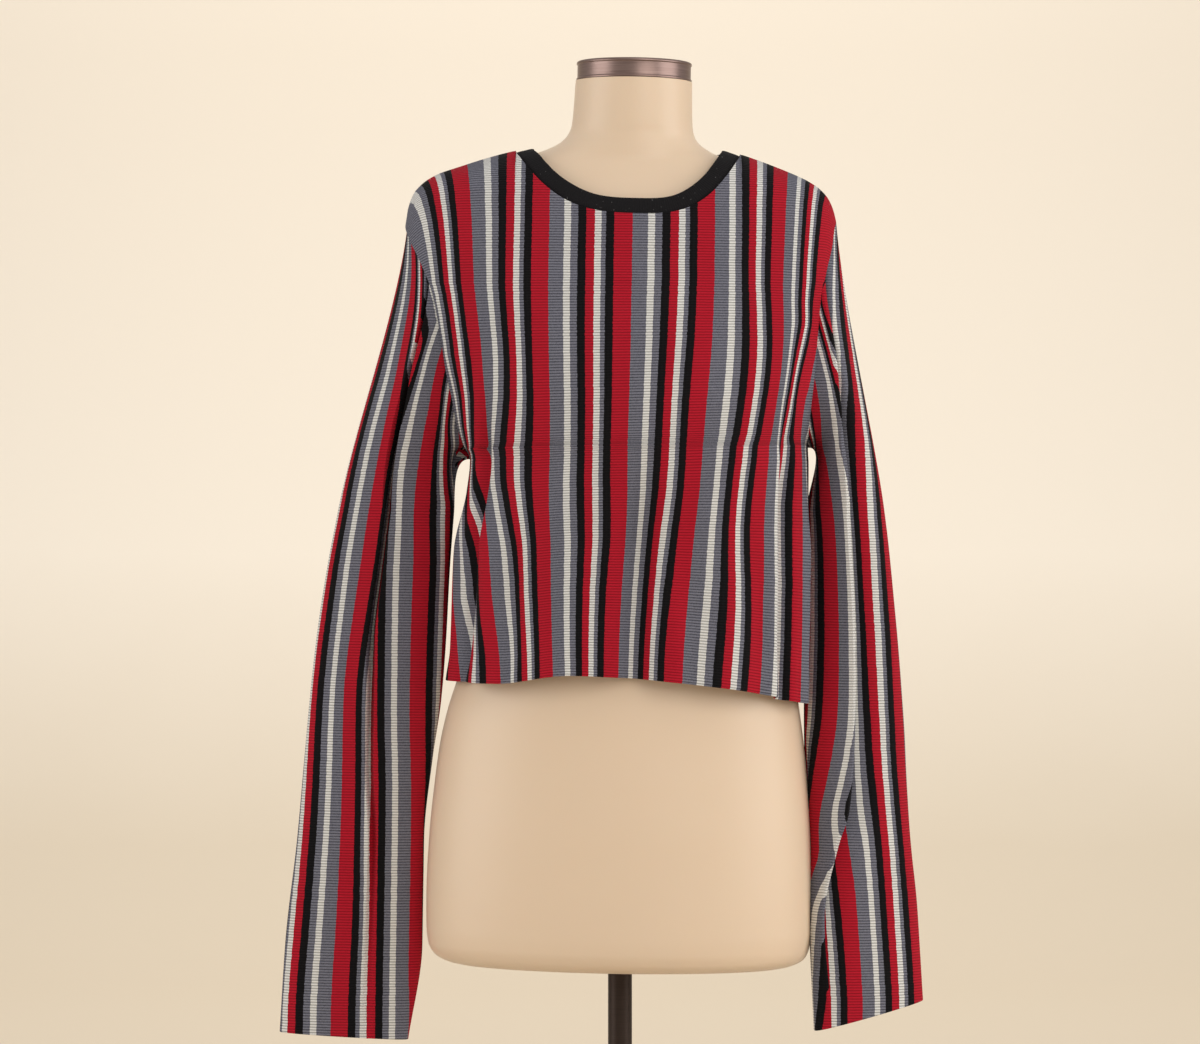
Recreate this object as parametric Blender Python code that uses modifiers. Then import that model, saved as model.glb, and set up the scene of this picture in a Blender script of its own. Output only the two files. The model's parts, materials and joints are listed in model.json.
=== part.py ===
"""Striped knit sweater worn on a limbless dress form that stands on a round base.

Sizes are millimetres in the tables and metres in the finished meshes. +Z is up and the
front of the sweater faces -Y, so "left" and "right" are the sides that a viewer in front
of it sees. The tables describe the form and the cloth standing upright. Both are then
leaned together on the pole, which stays plumb.
"""

import math
from collections import namedtuple

import bmesh
import bpy
import numpy as np
from mathutils import Matrix

MM = 0.001

# Driving dimensions, in millimetres.
WALL = 2.2                # knit cloth
BAND_WALL = 2.4           # doubled rib of the neckband
SEAM_GAP = 0.3            # between pieces that are sewn together
ARMPIT_EASE = 1.2         # the gap opens by this share where three pieces meet
BAND_HEIGHT = 16.5
SHOULDER_CLEARANCE = 3.4  # height of the cloth's outer face over the form's shoulder
RIDGE_Y = 4.0             # the shoulder and side seams run in this plane
LEAN_DEGREES = 0.9        # the form stands slightly off plumb on its pole
FORM_BOTTOM = 678.0
LEAN_PIVOT_Z = 670.0
FORM_CENTRE_X = -5.0
NECK_TOP = 1474.5
CAP_HEIGHT = 17.0
CAP_RADIUS = 52.0
POLE_RADIUS = 10.8
BASE_RADIUS = 160.0
BASE_THICKNESS = 9.0

# How finely each piece is cut up.
SHOULDER_COLUMNS = 7
NECK_COLUMNS = 18
YOKE_ROWS = 7
YOKE_CROWDING = 1.35      # above 1, the rows are closer together at the shoulder
ARMHOLE_ROWS = 7
SIDE_ROWS = 8
SLEEVE_CAP_ROWS = 6
SLEEVE_ROWS = 12
RING_MATCH = 0.5          # how far the sleeve's columns keep their spacing at the armhole
FORM_COLUMNS = 36
FINE = 160                # points in a section before it is divided evenly

# Level sections. left and right are x, front and back are depths from the ridge plane.
Section = namedtuple("Section", "z left right front back")

FORM_SECTIONS = (
    Section(FORM_BOTTOM, -128, 124, 74, 84),
    Section(679.0, -144, 141, 86, 98),
    Section(682.0, -158, 156, 94, 109),
    Section(688.0, -168, 166, 100, 116),
    Section(697.0, -173, 170, 104, 120),
    Section(712.0, -175, 172, 106, 122),
    Section(745.0, -175.5, 172, 107, 123),
    Section(790.0, -174, 170.5, 107, 122),
    Section(843.0, -169.5, 166.5, 105, 117),
    Section(879.0, -165, 162.5, 103, 112),
    Section(907.0, -159, 158.5, 102, 107),
    Section(934.0, -151, 154, 100, 102),
    Section(961.0, -144, 147, 97, 96),
    Section(1006.0, -129, 131, 90, 88),
    Section(1051.0, -121, 121, 87, 84),
    Section(1096.0, -125, 124, 94, 84),
    Section(1130.0, -131, 129, 104, 86),
    Section(1160.0, -137, 135, 111, 87),
    Section(1190.0, -144, 142, 112, 89),
    Section(1220.0, -153, 150, 108, 91),
    Section(1255.0, -167, 163, 102, 92),
    Section(1300.0, -186, 180, 91, 90),
    Section(1330.0, -195, 186, 84, 86),
    Section(1352.6, -195.5, 185, 74, 77),
    Section(1366.6, -190, 179, 68, 72),
    Section(1375.6, -183, 172, 63.5, 67.5),
    Section(1382.6, -174, 163, 60, 64),
    Section(1390.6, -154, 144, 56.5, 60),
    Section(1396.6, -136, 126, 54, 57),
    Section(1401.1, -119, 109, 52.5, 54.5),
    Section(1405.6, -99, 90, 52, 53),
    Section(1410.0, -83, 74, 52, 52),
    Section(1414.5, -72.5, 66, 52, 51.5),
    Section(1419.0, -65, 60, 52, 51),
    Section(1425.5, -59, 55.5, 52, 51),
    Section(1434.0, -55.5, 53.5, 52.5, 51),
    Section(1450.0, -54, 52.8, 52.8, 51),
    Section(NECK_TOP, -52.6, 52.4, 53, 51),
)

# The cloth's outer face before its folds. Above the armpits the sections run on past
# the armholes, which cut them off. square is the section's exponent: 2 is an ellipse,
# and a larger one has fuller corners.
ClothSection = namedtuple("ClothSection", "z left right front back square")

CLOTH_SECTIONS = (
    ClothSection(900.0, -158, 163, 122, 114, 2.5),
    ClothSection(934.0, -156, 162.5, 121, 112, 2.5),
    ClothSection(961.0, -152.5, 162, 119, 108, 2.5),
    ClothSection(1006.0, -151, 163, 116, 102, 2.5),
    ClothSection(1051.0, -150.5, 163, 115, 98, 2.5),
    ClothSection(1100.0, -143.5, 161, 117, 96, 2.5),
    ClothSection(1132.0, -140.5, 160.5, 119, 96, 2.5),
    ClothSection(1149.0, -149.5, 160.5, 120, 97, 2.45),
    ClothSection(1163.0, -156.5, 165, 120, 98, 2.4),
    ClothSection(1184.0, -165, 173, 120, 100, 2.35),
    ClothSection(1210.0, -175, 181, 118, 101, 2.3),
    ClothSection(1239.0, -183, 184.5, 114, 102, 2.25),
    ClothSection(1278.0, -194, 189, 105, 100, 2.2),
    ClothSection(1310.0, -201, 192.5, 96, 96, 2.15),
    ClothSection(1324.0, -202, 193, 93, 94, 2.1),
    ClothSection(1342.0, -202, 192, 87, 89, 2.1),
    ClothSection(1356.0, -200, 189.5, 81.5, 84.5, 2.1),
    ClothSection(1370.0, -195, 184, 76.5, 80.5, 2.1),
    ClothSection(1379.0, -187, 176, 72.5, 76.5, 2.1),
    ClothSection(1386.0, -176, 165, 69, 73, 2.1),
    ClothSection(1394.0, -154, 144, 66, 69, 2.1),
    ClothSection(1400.0, -136, 126, 64, 66, 2.1),
    ClothSection(1404.5, -121, 111, 62.5, 63.5, 2.1),
    ClothSection(1409.0, -104, 95, 61.5, 61.5, 2.1),
)

# Where the armholes cut the level sections, from the shoulder tip to the armpit.
Armhole = namedtuple("Armhole", "z left right")

ARMHOLE_FRONT = (
    Armhole(1130.0, -140.5, 160.5),
    Armhole(1149.0, -147.5, 160.5),
    Armhole(1163.0, -152, 161.5),
    Armhole(1184.0, -156, 164.5),
    Armhole(1210.0, -162, 168.5),
    Armhole(1239.0, -167, 171.5),
    Armhole(1278.0, -175, 176),
    Armhole(1310.0, -188.5, 182.5),
    Armhole(1326.0, -196.5, 186.5),
    Armhole(1342.0, -202, 188.4),
    Armhole(1351.0, -202, 190.5),
)
ARMHOLE_BACK_SHIFT = 4.0   # the back of each armhole lies this much nearer the side

# The ends of the armholes and of the shoulder seams.
Landmark = namedtuple("Landmark", "left right")
ARMPIT_Z = Landmark(1132.0, 1149.0)
SHOULDER_TIP_Z = Landmark(1342.0, 1351.0)
YOKE_Z = Landmark(1288.0, 1292.0)
NECK_POINT_Z = Landmark(1408.6, 1408.6)
NECK_CURVE = Landmark(2.0, 3.0)   # exponents of the back and the front neckline
NECK_LOWEST_X = 6.0
FRONT_NECK_Z = 1350.5
BACK_NECK_Z = 1397.0

# The hem's height above the floor at fractions of a panel's width, left to right.
Hem = namedtuple("Hem", "across front back")

HEM_LINE = (
    Hem(0.00, 934.0, 934.0),
    Hem(0.12, 934.0, 929.0),
    Hem(0.34, 943.0, 932.0),
    Hem(0.52, 941.0, 928.0),
    Hem(0.70, 936.0, 929.0),
    Hem(0.88, 928.0, 922.0),
    Hem(1.00, 918.0, 918.0),
)

# Soft creases of the body. across is a fraction of the panel's width at the fold's top
# and bottom. A positive height is a ridge and a negative one a valley.
Fold = namedtuple("Fold", "top bottom across_top across_bottom half_width height")

FRONT_FOLDS = (
    Fold(1215.0, 900.0, 0.165, 0.125, 27.0, -9.5),
    Fold(1110.0, 900.0, 0.050, 0.050, 22.0, 3.0),
    Fold(1095.0, 900.0, 0.250, 0.255, 26.0, -4.0),
    Fold(1160.0, 900.0, 0.355, 0.365, 34.0, 4.0),
    Fold(1160.0, 880.0, 0.500, 0.515, 38.0, -14.0),
    Fold(1170.0, 900.0, 0.650, 0.665, 40.0, 4.0),
    Fold(1205.0, 900.0, 0.835, 0.850, 27.0, -10.5),
    Fold(1120.0, 900.0, 0.940, 0.935, 22.0, 3.0),
)
BACK_FOLDS = (
    Fold(1205.0, 900.0, 0.160, 0.150, 28.0, -9.0),
    Fold(1170.0, 890.0, 0.310, 0.330, 34.0, -6.0),
    Fold(1130.0, 900.0, 0.430, 0.440, 32.0, 4.0),
    Fold(1180.0, 880.0, 0.560, 0.560, 34.0, -7.0),
    Fold(1120.0, 900.0, 0.690, 0.690, 34.0, 4.0),
    Fold(1200.0, 900.0, 0.845, 0.840, 28.0, -9.5),
)

# Level sections of the sleeves below the armpit. outer and inner are distances from the
# middle of the body, y the middle of the tube, thick its depth, turn the angle that
# brings its inner edge forward, droop how far the inner edge hangs below the outer one.
# crease is where the long fold lies (0 outer edge, 1 inner edge, along the front), and
# crease_depth and crease_width its size.
SleeveRow = namedtuple(
    "SleeveRow", "z outer inner y thick turn droop crease crease_depth crease_width")

SLEEVE_LEFT_ROWS = (
    SleeveRow(1085.0, 255, 154.5, 8, 74, 0, 0, 0.47, 13, 15),
    SleeveRow(1034.0, 264, 157.5, 8, 66, 0, 0, 0.44, 13, 15),
    SleeveRow(968.0, 273, 160.0, 8, 58, 0, 0, 0.43, 12, 15),
    SleeveRow(915.0, 278, 163.5, 8, 54, 0, 0, 0.45, 11, 15),
    SleeveRow(862.0, 282, 170.5, 8, 50, 0, 0, 0.46, 9, 15),
    SleeveRow(788.0, 287, 177.0, 8, 46, 0, 0, 0.50, 8, 15),
    SleeveRow(697.0, 294, 178.5, 8, 38, 0, 2, 0.55, 5, 15),
    SleeveRow(614.0, 301, 186.0, 8, 28, 0, 5, 0.58, 1, 15),
)
SLEEVE_RIGHT_ROWS = (
    SleeveRow(1085.0, 237, 165.5, 10, 88, 8, 0, 0.44, 12, 15),
    SleeveRow(1063.0, 240, 166.0, 10, 86, 10, 0, 0.44, 13, 15),
    SleeveRow(967.0, 251, 166.5, 10, 74, 14, 0, 0.43, 13, 15),
    SleeveRow(908.0, 257, 166.5, 10, 68, 18, 0, 0.46, 12, 15),
    SleeveRow(860.0, 260.5, 168.5, 9, 62, 20, 2, 0.52, 8, 15),
    SleeveRow(796.0, 264.5, 174.0, 8, 54, 22, 6, 0.60, 4, 15),
    SleeveRow(738.0, 270, 176.0, 6, 46, 22, 12, 0.66, 2, 15),
    SleeveRow(650.0, 277, 181.5, 4, 34, 22, 25, 0.74, 1, 15),
)

# Colours as seen in the material, roughness and metallic value.
Finish = namedtuple("Finish", "colour roughness metallic")

FINISHES = {
    "front": Finish((0.34, 0.02, 0.04), 0.85, 0.0),
    "back": Finish((0.34, 0.02, 0.04), 0.85, 0.0),
    "sleeve_left": Finish((0.13, 0.13, 0.17), 0.85, 0.0),
    "sleeve_right": Finish((0.13, 0.13, 0.17), 0.85, 0.0),
    "neckband": Finish((0.008, 0.008, 0.009), 0.9, 0.0),
    "form_torso": Finish((0.76, 0.58, 0.42), 0.42, 0.0),
    "neck_cap": Finish((0.12, 0.07, 0.055), 0.32, 0.9),
    "stand_pole": Finish((0.03, 0.02, 0.017), 0.4, 0.8),
    "stand_base": Finish((0.03, 0.02, 0.017), 0.45, 0.8),
}


def clear_scene():
    """Remove every object that the file opened with."""
    for item in list(bpy.data.objects):
        bpy.data.objects.remove(item, do_unlink=True)


def smooth_value(rows, key, name, at):
    """Read a table's column between its rows on a smooth curve that never overshoots."""
    keys = np.array([getattr(row, key) for row in rows], dtype=float)
    values = np.array([getattr(row, name) for row in rows], dtype=float)
    if keys[0] > keys[-1]:
        keys, values = keys[::-1], values[::-1]
    at = np.clip(np.asarray(at, dtype=float), keys[0], keys[-1])
    steps = np.diff(keys)
    slopes = np.diff(values) / steps
    tangents = np.zeros_like(values)
    same_way = slopes[:-1] * slopes[1:] > 0.0
    before = 2.0 * steps[1:] + steps[:-1]
    after = steps[1:] + 2.0 * steps[:-1]
    with np.errstate(divide="ignore", invalid="ignore"):
        blend = (before + after) / (before / slopes[:-1] + after / slopes[1:])
    tangents[1:-1] = np.where(same_way, blend, 0.0)
    tangents[0] = slopes[0]
    tangents[-1] = slopes[-1]
    cell = np.clip(np.searchsorted(keys, at, side="right") - 1, 0, len(steps) - 1)
    step = steps[cell]
    part = (at - keys[cell]) / step
    return (
        values[cell] * (1.0 + 2.0 * part) * (1.0 - part) ** 2
        + tangents[cell] * step * part * (1.0 - part) ** 2
        + values[cell + 1] * (3.0 - 2.0 * part) * part ** 2
        + tangents[cell + 1] * step * (part - 1.0) * part ** 2
    )


def section_y(rows, x, z, facing):
    """Depth of a level section at x, on the front (facing -1) or the back (+1)."""
    left = smooth_value(rows, "z", "left", z)
    right = smooth_value(rows, "z", "right", z)
    depth = smooth_value(rows, "z", "front" if facing < 0 else "back", z)
    middle = 0.5 * (left + right)
    share = np.clip(np.abs(x - middle) / (0.5 * (right - left)), 0.0, 1.0)
    square = smooth_value(rows, "z", "square", z)
    return RIDGE_Y + facing * depth * (1.0 - share ** square) ** (1.0 / square)


def section_normal(points, facing):
    """Outward normals of the unfolded cloth at points on it."""
    def level(z):
        left = smooth_value(CLOTH_SECTIONS, "z", "left", z)
        right = smooth_value(CLOTH_SECTIONS, "z", "right", z)
        depth = smooth_value(CLOTH_SECTIONS, "z", "front" if facing < 0 else "back", z)
        square = smooth_value(CLOTH_SECTIONS, "z", "square", z)
        half = 0.5 * (right - left)
        across = (points[..., 0] - 0.5 * (left + right)) / half
        through = (points[..., 1] - RIDGE_Y) / depth
        return across, through, half, depth, square

    across, through, half, depth, square = level(points[..., 2])
    slope_x = np.sign(across) * np.abs(across) ** (square - 1.0) / half
    slope_y = np.sign(through) * np.abs(through) ** (square - 1.0) / depth
    reach = []
    for step in (-1.5, 1.5):
        near = level(points[..., 2] + step)
        reach.append(np.abs(near[0]) ** square + np.abs(near[1]) ** square)
    slope_z = (reach[1] - reach[0]) / 3.0 / square
    return unit(np.stack([slope_x, slope_y, slope_z], axis=-1))


def lengths_along(points):
    """Distance along a line of points, from its first point."""
    steps = np.linalg.norm(np.diff(points, axis=0), axis=1)
    return np.concatenate(([0.0], np.cumsum(steps)))


def unit(vectors):
    """Vectors scaled to length 1."""
    return vectors / np.maximum(np.linalg.norm(vectors, axis=-1), 1e-9)[..., None]


def divide_evenly(points, fractions, values=None):
    """Points at given fractions of a line's length, or values that go with its points."""
    run = lengths_along(points)
    goal = np.asarray(fractions) * run[-1]
    values = points if values is None else values
    return np.stack([np.interp(goal, run, values[:, axis]) for axis in range(3)], axis=1)


def bell(offset):
    """A smooth bump, 1 at 0 and 0 from 1 on."""
    return np.where(np.abs(offset) < 1.0, 0.5 + 0.5 * np.cos(np.pi * offset), 0.0)


def ease(value):
    """A smooth step from 0 to 1."""
    value = np.clip(value, 0.0, 1.0)
    return value * value * (3.0 - 2.0 * value)


def fold_height(folds, across, width, z):
    """How far the folds push the cloth out at a place on a panel."""
    height = np.zeros_like(across)
    for fold in folds:
        down = np.clip((fold.top - z) / (fold.top - fold.bottom), 0.0, 1.0)
        middle = fold.across_top + (fold.across_bottom - fold.across_top) * down
        strength = ease(down * 3.0)
        height += fold.height * strength * bell((across - middle) * width / fold.half_width)
    return height


def folded(line, height, facing):
    """Move a level line of points out along its level normals, with its new normals."""
    run = unit(np.gradient(line[:, :2], axis=0))
    level_normal = np.stack([-run[:, 1], run[:, 0], np.zeros(len(run))], axis=1) * facing
    moved = line + level_normal * height[:, None]
    slope = np.gradient(height) / np.maximum(np.gradient(lengths_along(line)), 1e-6)
    along = np.stack([run[:, 0], run[:, 1], np.zeros(len(run))], axis=1)
    normal = unit(section_normal(line, facing) - along * slope[:, None])
    return moved, normal


def panel_row(facing, folds, left_end, right_end, left_z, right_z, hem_share, fractions):
    """A row of a panel from its left to its right edge, and its normals."""
    angle = np.linspace(0.0, np.pi, FINE)
    share = 0.5 - 0.5 * np.cos(angle)
    if hem_share > 0.0:
        hem = smooth_value(HEM_LINE, "across", "front" if facing < 0 else "back", share)
        top = ARMPIT_Z.left + (ARMPIT_Z.right - ARMPIT_Z.left) * share
        z = top + (hem - top) * hem_share
        edges = [smooth_value(CLOTH_SECTIONS, "z", name, z) for name in ("left", "right")]
        x = 0.5 * (edges[0] + edges[1]) - 0.5 * (edges[1] - edges[0]) * np.cos(angle)
    else:
        x = left_end + (right_end - left_end) * share
        z = left_z + (right_z - left_z) * share
    y = section_y(CLOTH_SECTIONS, x, z, facing)
    line = np.stack([x, y, z], axis=1)
    run = lengths_along(line)
    height = fold_height(folds, run / run[-1], run[-1], z)
    edge = ease(np.minimum(run, run[-1] - run) / 12.0)
    line, normal = folded(line, height * edge, facing)
    return divide_evenly(line, fractions), unit(divide_evenly(line, fractions, normal))


def armhole_x(side, facing, z):
    """x of an armhole's edge at a height."""
    x = smooth_value(ARMHOLE_FRONT, "z", side, z)
    if facing > 0:
        outward = -1.0 if side == "left" else 1.0
        armpit = getattr(ARMPIT_Z, side)
        tip = getattr(SHOULDER_TIP_Z, side)
        share = np.clip((z - armpit) / (tip - armpit), 0.0, 1.0)
        x = x + outward * ARMHOLE_BACK_SHIFT * np.sin(np.pi * share) ** 2
    edge = smooth_value(CLOTH_SECTIONS, "z", side, z)
    return float(max(x, edge) if side == "left" else min(x, edge))


def ridge_z(side, x):
    """Height of the shoulder ridge at x, read back from the level sections."""
    heights = np.linspace(SHOULDER_TIP_Z.right, NECK_POINT_Z.left, FINE)
    if side == "left":
        heights = np.linspace(SHOULDER_TIP_Z.left, NECK_POINT_Z.left, FINE)
    reach = np.abs(smooth_value(CLOTH_SECTIONS, "z", side, heights))
    return float(np.interp(-abs(x), -reach, heights))


def shoulder_line(side):
    """The shoulder seam, from the neck point to the tip."""
    tip_x = armhole_x(side, -1, getattr(SHOULDER_TIP_Z, side))
    neck_x = float(smooth_value(CLOTH_SECTIONS, "z", side, getattr(NECK_POINT_Z, side)))
    tip_z = getattr(SHOULDER_TIP_Z, side)
    x = np.linspace(neck_x, tip_x, FINE)
    z = np.array([ridge_z(side, value) for value in x])
    z[-1] = tip_z
    y = np.full(FINE, RIDGE_Y)
    return np.stack([x, y, z], axis=1)


def neck_line(facing):
    """The neckline of a panel, from its left to its right neck point."""
    left = float(smooth_value(CLOTH_SECTIONS, "z", "left", NECK_POINT_Z.left))
    right = float(smooth_value(CLOTH_SECTIONS, "z", "right", NECK_POINT_Z.right))
    lowest = FRONT_NECK_Z if facing < 0 else BACK_NECK_Z
    angle = np.linspace(0.0, np.pi, FINE)
    x = 0.5 * (left + right) - 0.5 * (right - left) * np.cos(angle)
    away = x - NECK_LOWEST_X
    share = np.where(away < 0.0, away / (left - NECK_LOWEST_X), away / (right - NECK_LOWEST_X))
    power = NECK_CURVE.right if facing < 0 else NECK_CURVE.left
    z = lowest + (NECK_POINT_Z.left - lowest) * share ** power
    y = section_y(CLOTH_SECTIONS, x, z, facing)
    return np.stack([x, y, z], axis=1)


def top_line(facing):
    """A panel's top edge: left shoulder, neckline, right shoulder."""
    shoulder_steps = np.linspace(0.0, 1.0, SHOULDER_COLUMNS + 1)
    neck_steps = np.linspace(0.0, 1.0, NECK_COLUMNS + 1)
    left = divide_evenly(shoulder_line("left"), shoulder_steps)[::-1]
    neck = divide_evenly(neck_line(facing), neck_steps)
    right = divide_evenly(shoulder_line("right"), shoulder_steps)
    return np.concatenate([left, neck[1:], right[1:]])


def yoke_rows(facing, lowest, top):
    """Rows between a panel's yoke row and its top edge, over the shoulders."""
    columns = []
    for column, (below, above) in enumerate(zip(lowest, top)):
        part = np.linspace(0.0, 1.0, FINE)
        x = above[0] + (below[0] - above[0]) * part
        level_start = max(0.0, 1.0 - abs(above[1] - RIDGE_Y) / 30.0)
        z = above[2] + (below[2] - above[2]) * part ** (1.0 + level_start)
        if column in (0, len(top) - 1):
            side = "left" if column == 0 else "right"
            x = np.array([armhole_x(side, facing, height) for height in z])
        line = np.stack([x, section_y(CLOTH_SECTIONS, x, z, facing), z], axis=1)
        line[0] = above
        line[-1] = below
        steps = np.linspace(0.0, 1.0, YOKE_ROWS + 1) ** YOKE_CROWDING
        columns.append(divide_evenly(line, steps))
    return np.stack(columns, axis=1)


def armhole_heights(side, facing):
    """Heights that divide an armhole evenly from its yoke row to the armpit."""
    top, armpit = getattr(YOKE_Z, side), getattr(ARMPIT_Z, side)
    z = np.linspace(top, armpit, FINE)
    x = np.array([armhole_x(side, facing, height) for height in z])
    line = np.stack([x, section_y(CLOTH_SECTIONS, x, z, facing), z], axis=1)
    return divide_evenly(line, np.linspace(0.0, 1.0, ARMHOLE_ROWS + 1))[:, 2]


def body_panel(facing, folds):
    """The grid of a panel's outer face from the top edge to the hem, and its normals."""
    fractions = np.linspace(0.0, 1.0, 2 * SHOULDER_COLUMNS + NECK_COLUMNS + 1)
    rows = []
    levels = zip(armhole_heights("left", facing), armhole_heights("right", facing))
    for left_z, right_z in levels:
        left = armhole_x("left", facing, left_z)
        right = armhole_x("right", facing, right_z)
        rows.append(panel_row(facing, folds, left, right, left_z, right_z, 0.0, fractions))
    for row in range(1, SIDE_ROWS + 1):
        share = row / SIDE_ROWS
        rows.append(panel_row(facing, folds, 0.0, 0.0, 0.0, 0.0, share, fractions))
    yoke = yoke_rows(facing, rows[0][0], top_line(facing))[:-1]
    grid = np.concatenate([yoke, np.stack([row[0] for row in rows])])
    normal = np.stack([row[1] for row in rows])
    return grid, np.concatenate([section_normal(yoke, facing), normal])


def tube_normals(grid, outward):
    """Normals of a tube's points. outward is 1 or -1, for the way its rings wind."""
    ring = np.concatenate([grid[:, -1:], grid, grid[:, :1]], axis=1)
    across = np.gradient(ring, axis=1)[:, 1:-1]
    down = np.gradient(grid, axis=0)
    normal = np.cross(across, down) * outward
    return normal / np.maximum(np.linalg.norm(normal, axis=2), 1e-9)[:, :, None]


def share_normals(first, second):
    """Give two lists of normals on a common seam the direction halfway between them."""
    common = unit(first + second)
    first[...] = common
    second[...] = common


def pull_back(grids, line, inner_line, distance):
    """Draw an edge of a wall back from its seam, towards the line of points beside it.

    line and inner_line index the edge and the points beside it in each grid.
    """
    for grid in grids:
        step = unit(grid[inner_line] - grid[line])
        grid[line] += step * np.reshape(distance, (-1, 1))


def leaned(points):
    """Lean points on the pole and turn millimetres to metres."""
    angle = math.radians(LEAN_DEGREES)
    x = points[..., 0] - FORM_CENTRE_X
    z = points[..., 2] - LEAN_PIVOT_Z
    moved = np.stack([
        FORM_CENTRE_X + x * math.cos(angle) + z * math.sin(angle),
        points[..., 1],
        LEAN_PIVOT_Z + z * math.cos(angle) - x * math.sin(angle),
    ], axis=-1)
    return moved * MM


def finish_object(name, mesh, smooth_angle=40.0):
    """Wrap a mesh in an object with its own material, in the sweater's collection."""
    finish = FINISHES[name]
    material = bpy.data.materials.new(name)
    material.use_nodes = True
    shader = material.node_tree.nodes["Principled BSDF"]
    shader.inputs["Base Color"].default_value = (*finish.colour, 1.0)
    shader.inputs["Roughness"].default_value = finish.roughness
    shader.inputs["Metallic"].default_value = finish.metallic
    material.diffuse_color = (*finish.colour, 1.0)
    mesh.materials.clear()
    mesh.materials.append(material)
    mesh.shade_smooth()
    mesh.set_sharp_from_angle(angle=math.radians(smooth_angle))
    item = bpy.data.objects.new(name, mesh)
    collection = bpy.data.collections.get("striped_sweater")
    if collection is None:
        collection = bpy.data.collections.new("striped_sweater")
        bpy.context.scene.collection.children.link(collection)
    collection.objects.link(item)
    return item


def mesh_from(name, points, faces):
    """A mesh whose faces all point out."""
    mesh = bpy.data.meshes.new(name)
    mesh.from_pydata([tuple(point) for point in points], [], faces)
    work = bmesh.new()
    work.from_mesh(mesh)
    bmesh.ops.recalc_face_normals(work, faces=work.faces)
    work.to_mesh(mesh)
    work.free()
    return mesh


def edge_strip(start, end, inside, forward):
    """The two triangles that close a wall's edge between two of its points."""
    if forward:
        return [[start, end, start + inside], [end, end + inside, start + inside]]
    return [[start, end, end + inside], [start, end + inside, start + inside]]


def wall_solid(name, outer, inner, closed):
    """A closed wall between two grids: both faces and the strips round its edges."""
    rows, columns = outer.shape[:2]
    points = np.concatenate([leaned(outer).reshape(-1, 3), leaned(inner).reshape(-1, 3)])
    inside = rows * columns
    faces = []
    for row in range(rows - 1):
        for column in range(columns if closed else columns - 1):
            beside = (column + 1) % columns
            corner = [row * columns + column, row * columns + beside,
                      (row + 1) * columns + beside, (row + 1) * columns + column]
            falling = math.dist(points[corner[0]], points[corner[2]])
            rising = math.dist(points[corner[1]], points[corner[3]])
            turn = 0 if falling <= rising else 1
            first, second, third, fourth = corner[turn:] + corner[:turn]
            for half in ([first, second, third], [first, third, fourth]):
                faces.append(half)
                faces.append([index + inside for index in reversed(half)])
    # Each edge strip is split from the outer face's later point to the inner face's
    # earlier one, so that two strips along a seam keep the same gap all the way.
    for column in range(columns if closed else columns - 1):
        beside = (column + 1) % columns
        falling = not closed or 2 * column < columns
        faces.extend(edge_strip(column, beside, inside, falling))
        last = (rows - 1) * columns
        faces.extend(edge_strip(last + beside, last + column, inside, not falling))
    if not closed:
        for row in range(rows - 1):
            near, far = row * columns, row * columns + columns - 1
            faces.extend(edge_strip(near + columns, near, inside, False))
            faces.extend(edge_strip(far, far + columns, inside, True))
    return finish_object(name, mesh_from(name, points, faces))


def sleeve_ring(rows, outward, z, fractions):
    """A ring of a sleeve at a height, from its outer edge round the front.

    outward is -1 for the left sleeve and 1 for the right one. fractions divides the front
    and the back half.
    """
    value = {name: float(smooth_value(rows, "z", name, z)) for name in SleeveRow._fields[1:]}
    half = 0.5 * (value["outer"] - value["inner"])
    middle = 0.5 * (value["outer"] + value["inner"])
    turn = math.radians(value["turn"])
    deep = 0.5 * value["thick"]
    angle = np.linspace(0.0, 2.0 * np.pi, 4 * FINE)
    reach = half / math.hypot(math.cos(turn), math.sin(turn) * deep / half)
    along = reach * np.cos(angle)
    depth = -deep * np.sign(np.sin(angle)) * np.abs(np.sin(angle)) ** 0.9
    line = np.stack([along, depth, np.zeros_like(angle)], axis=1)
    run = lengths_along(line)
    front = 0.5 * run[-1]
    place = value["crease"] * front
    groove = value["crease_depth"] * bell((run - place) / (1.6 * value["crease_width"]))
    back_place = run[-1] - 0.45 * front
    groove += 0.5 * value["crease_depth"] * bell((run - back_place) / 16.0)
    inward = unit(-line)
    line = line + inward * groove[:, None]
    x = line[:, 0] * math.cos(turn) - line[:, 1] * math.sin(turn)
    y = line[:, 0] * math.sin(turn) + line[:, 1] * math.cos(turn)
    drop = value["droop"] * (0.5 - 0.5 * x / half)
    ring = np.stack([outward * (middle + x), value["y"] + y, z - drop], axis=1)
    half_way = len(ring) // 2
    first = divide_evenly(ring[:half_way + 1], fractions[0])
    second = divide_evenly(ring[half_way:], fractions[1])
    return np.concatenate([first[:-1], second[:-1]])


def armhole_loop(front, back, column):
    """The armhole's edge on both panels: tip, down the front, armpit, up the back."""
    last = YOKE_ROWS + ARMHOLE_ROWS
    down = front[:last + 1, column]
    up = back[:last + 1, column][::-1]
    return np.concatenate([down[:-1], up[:-1]])


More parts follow.
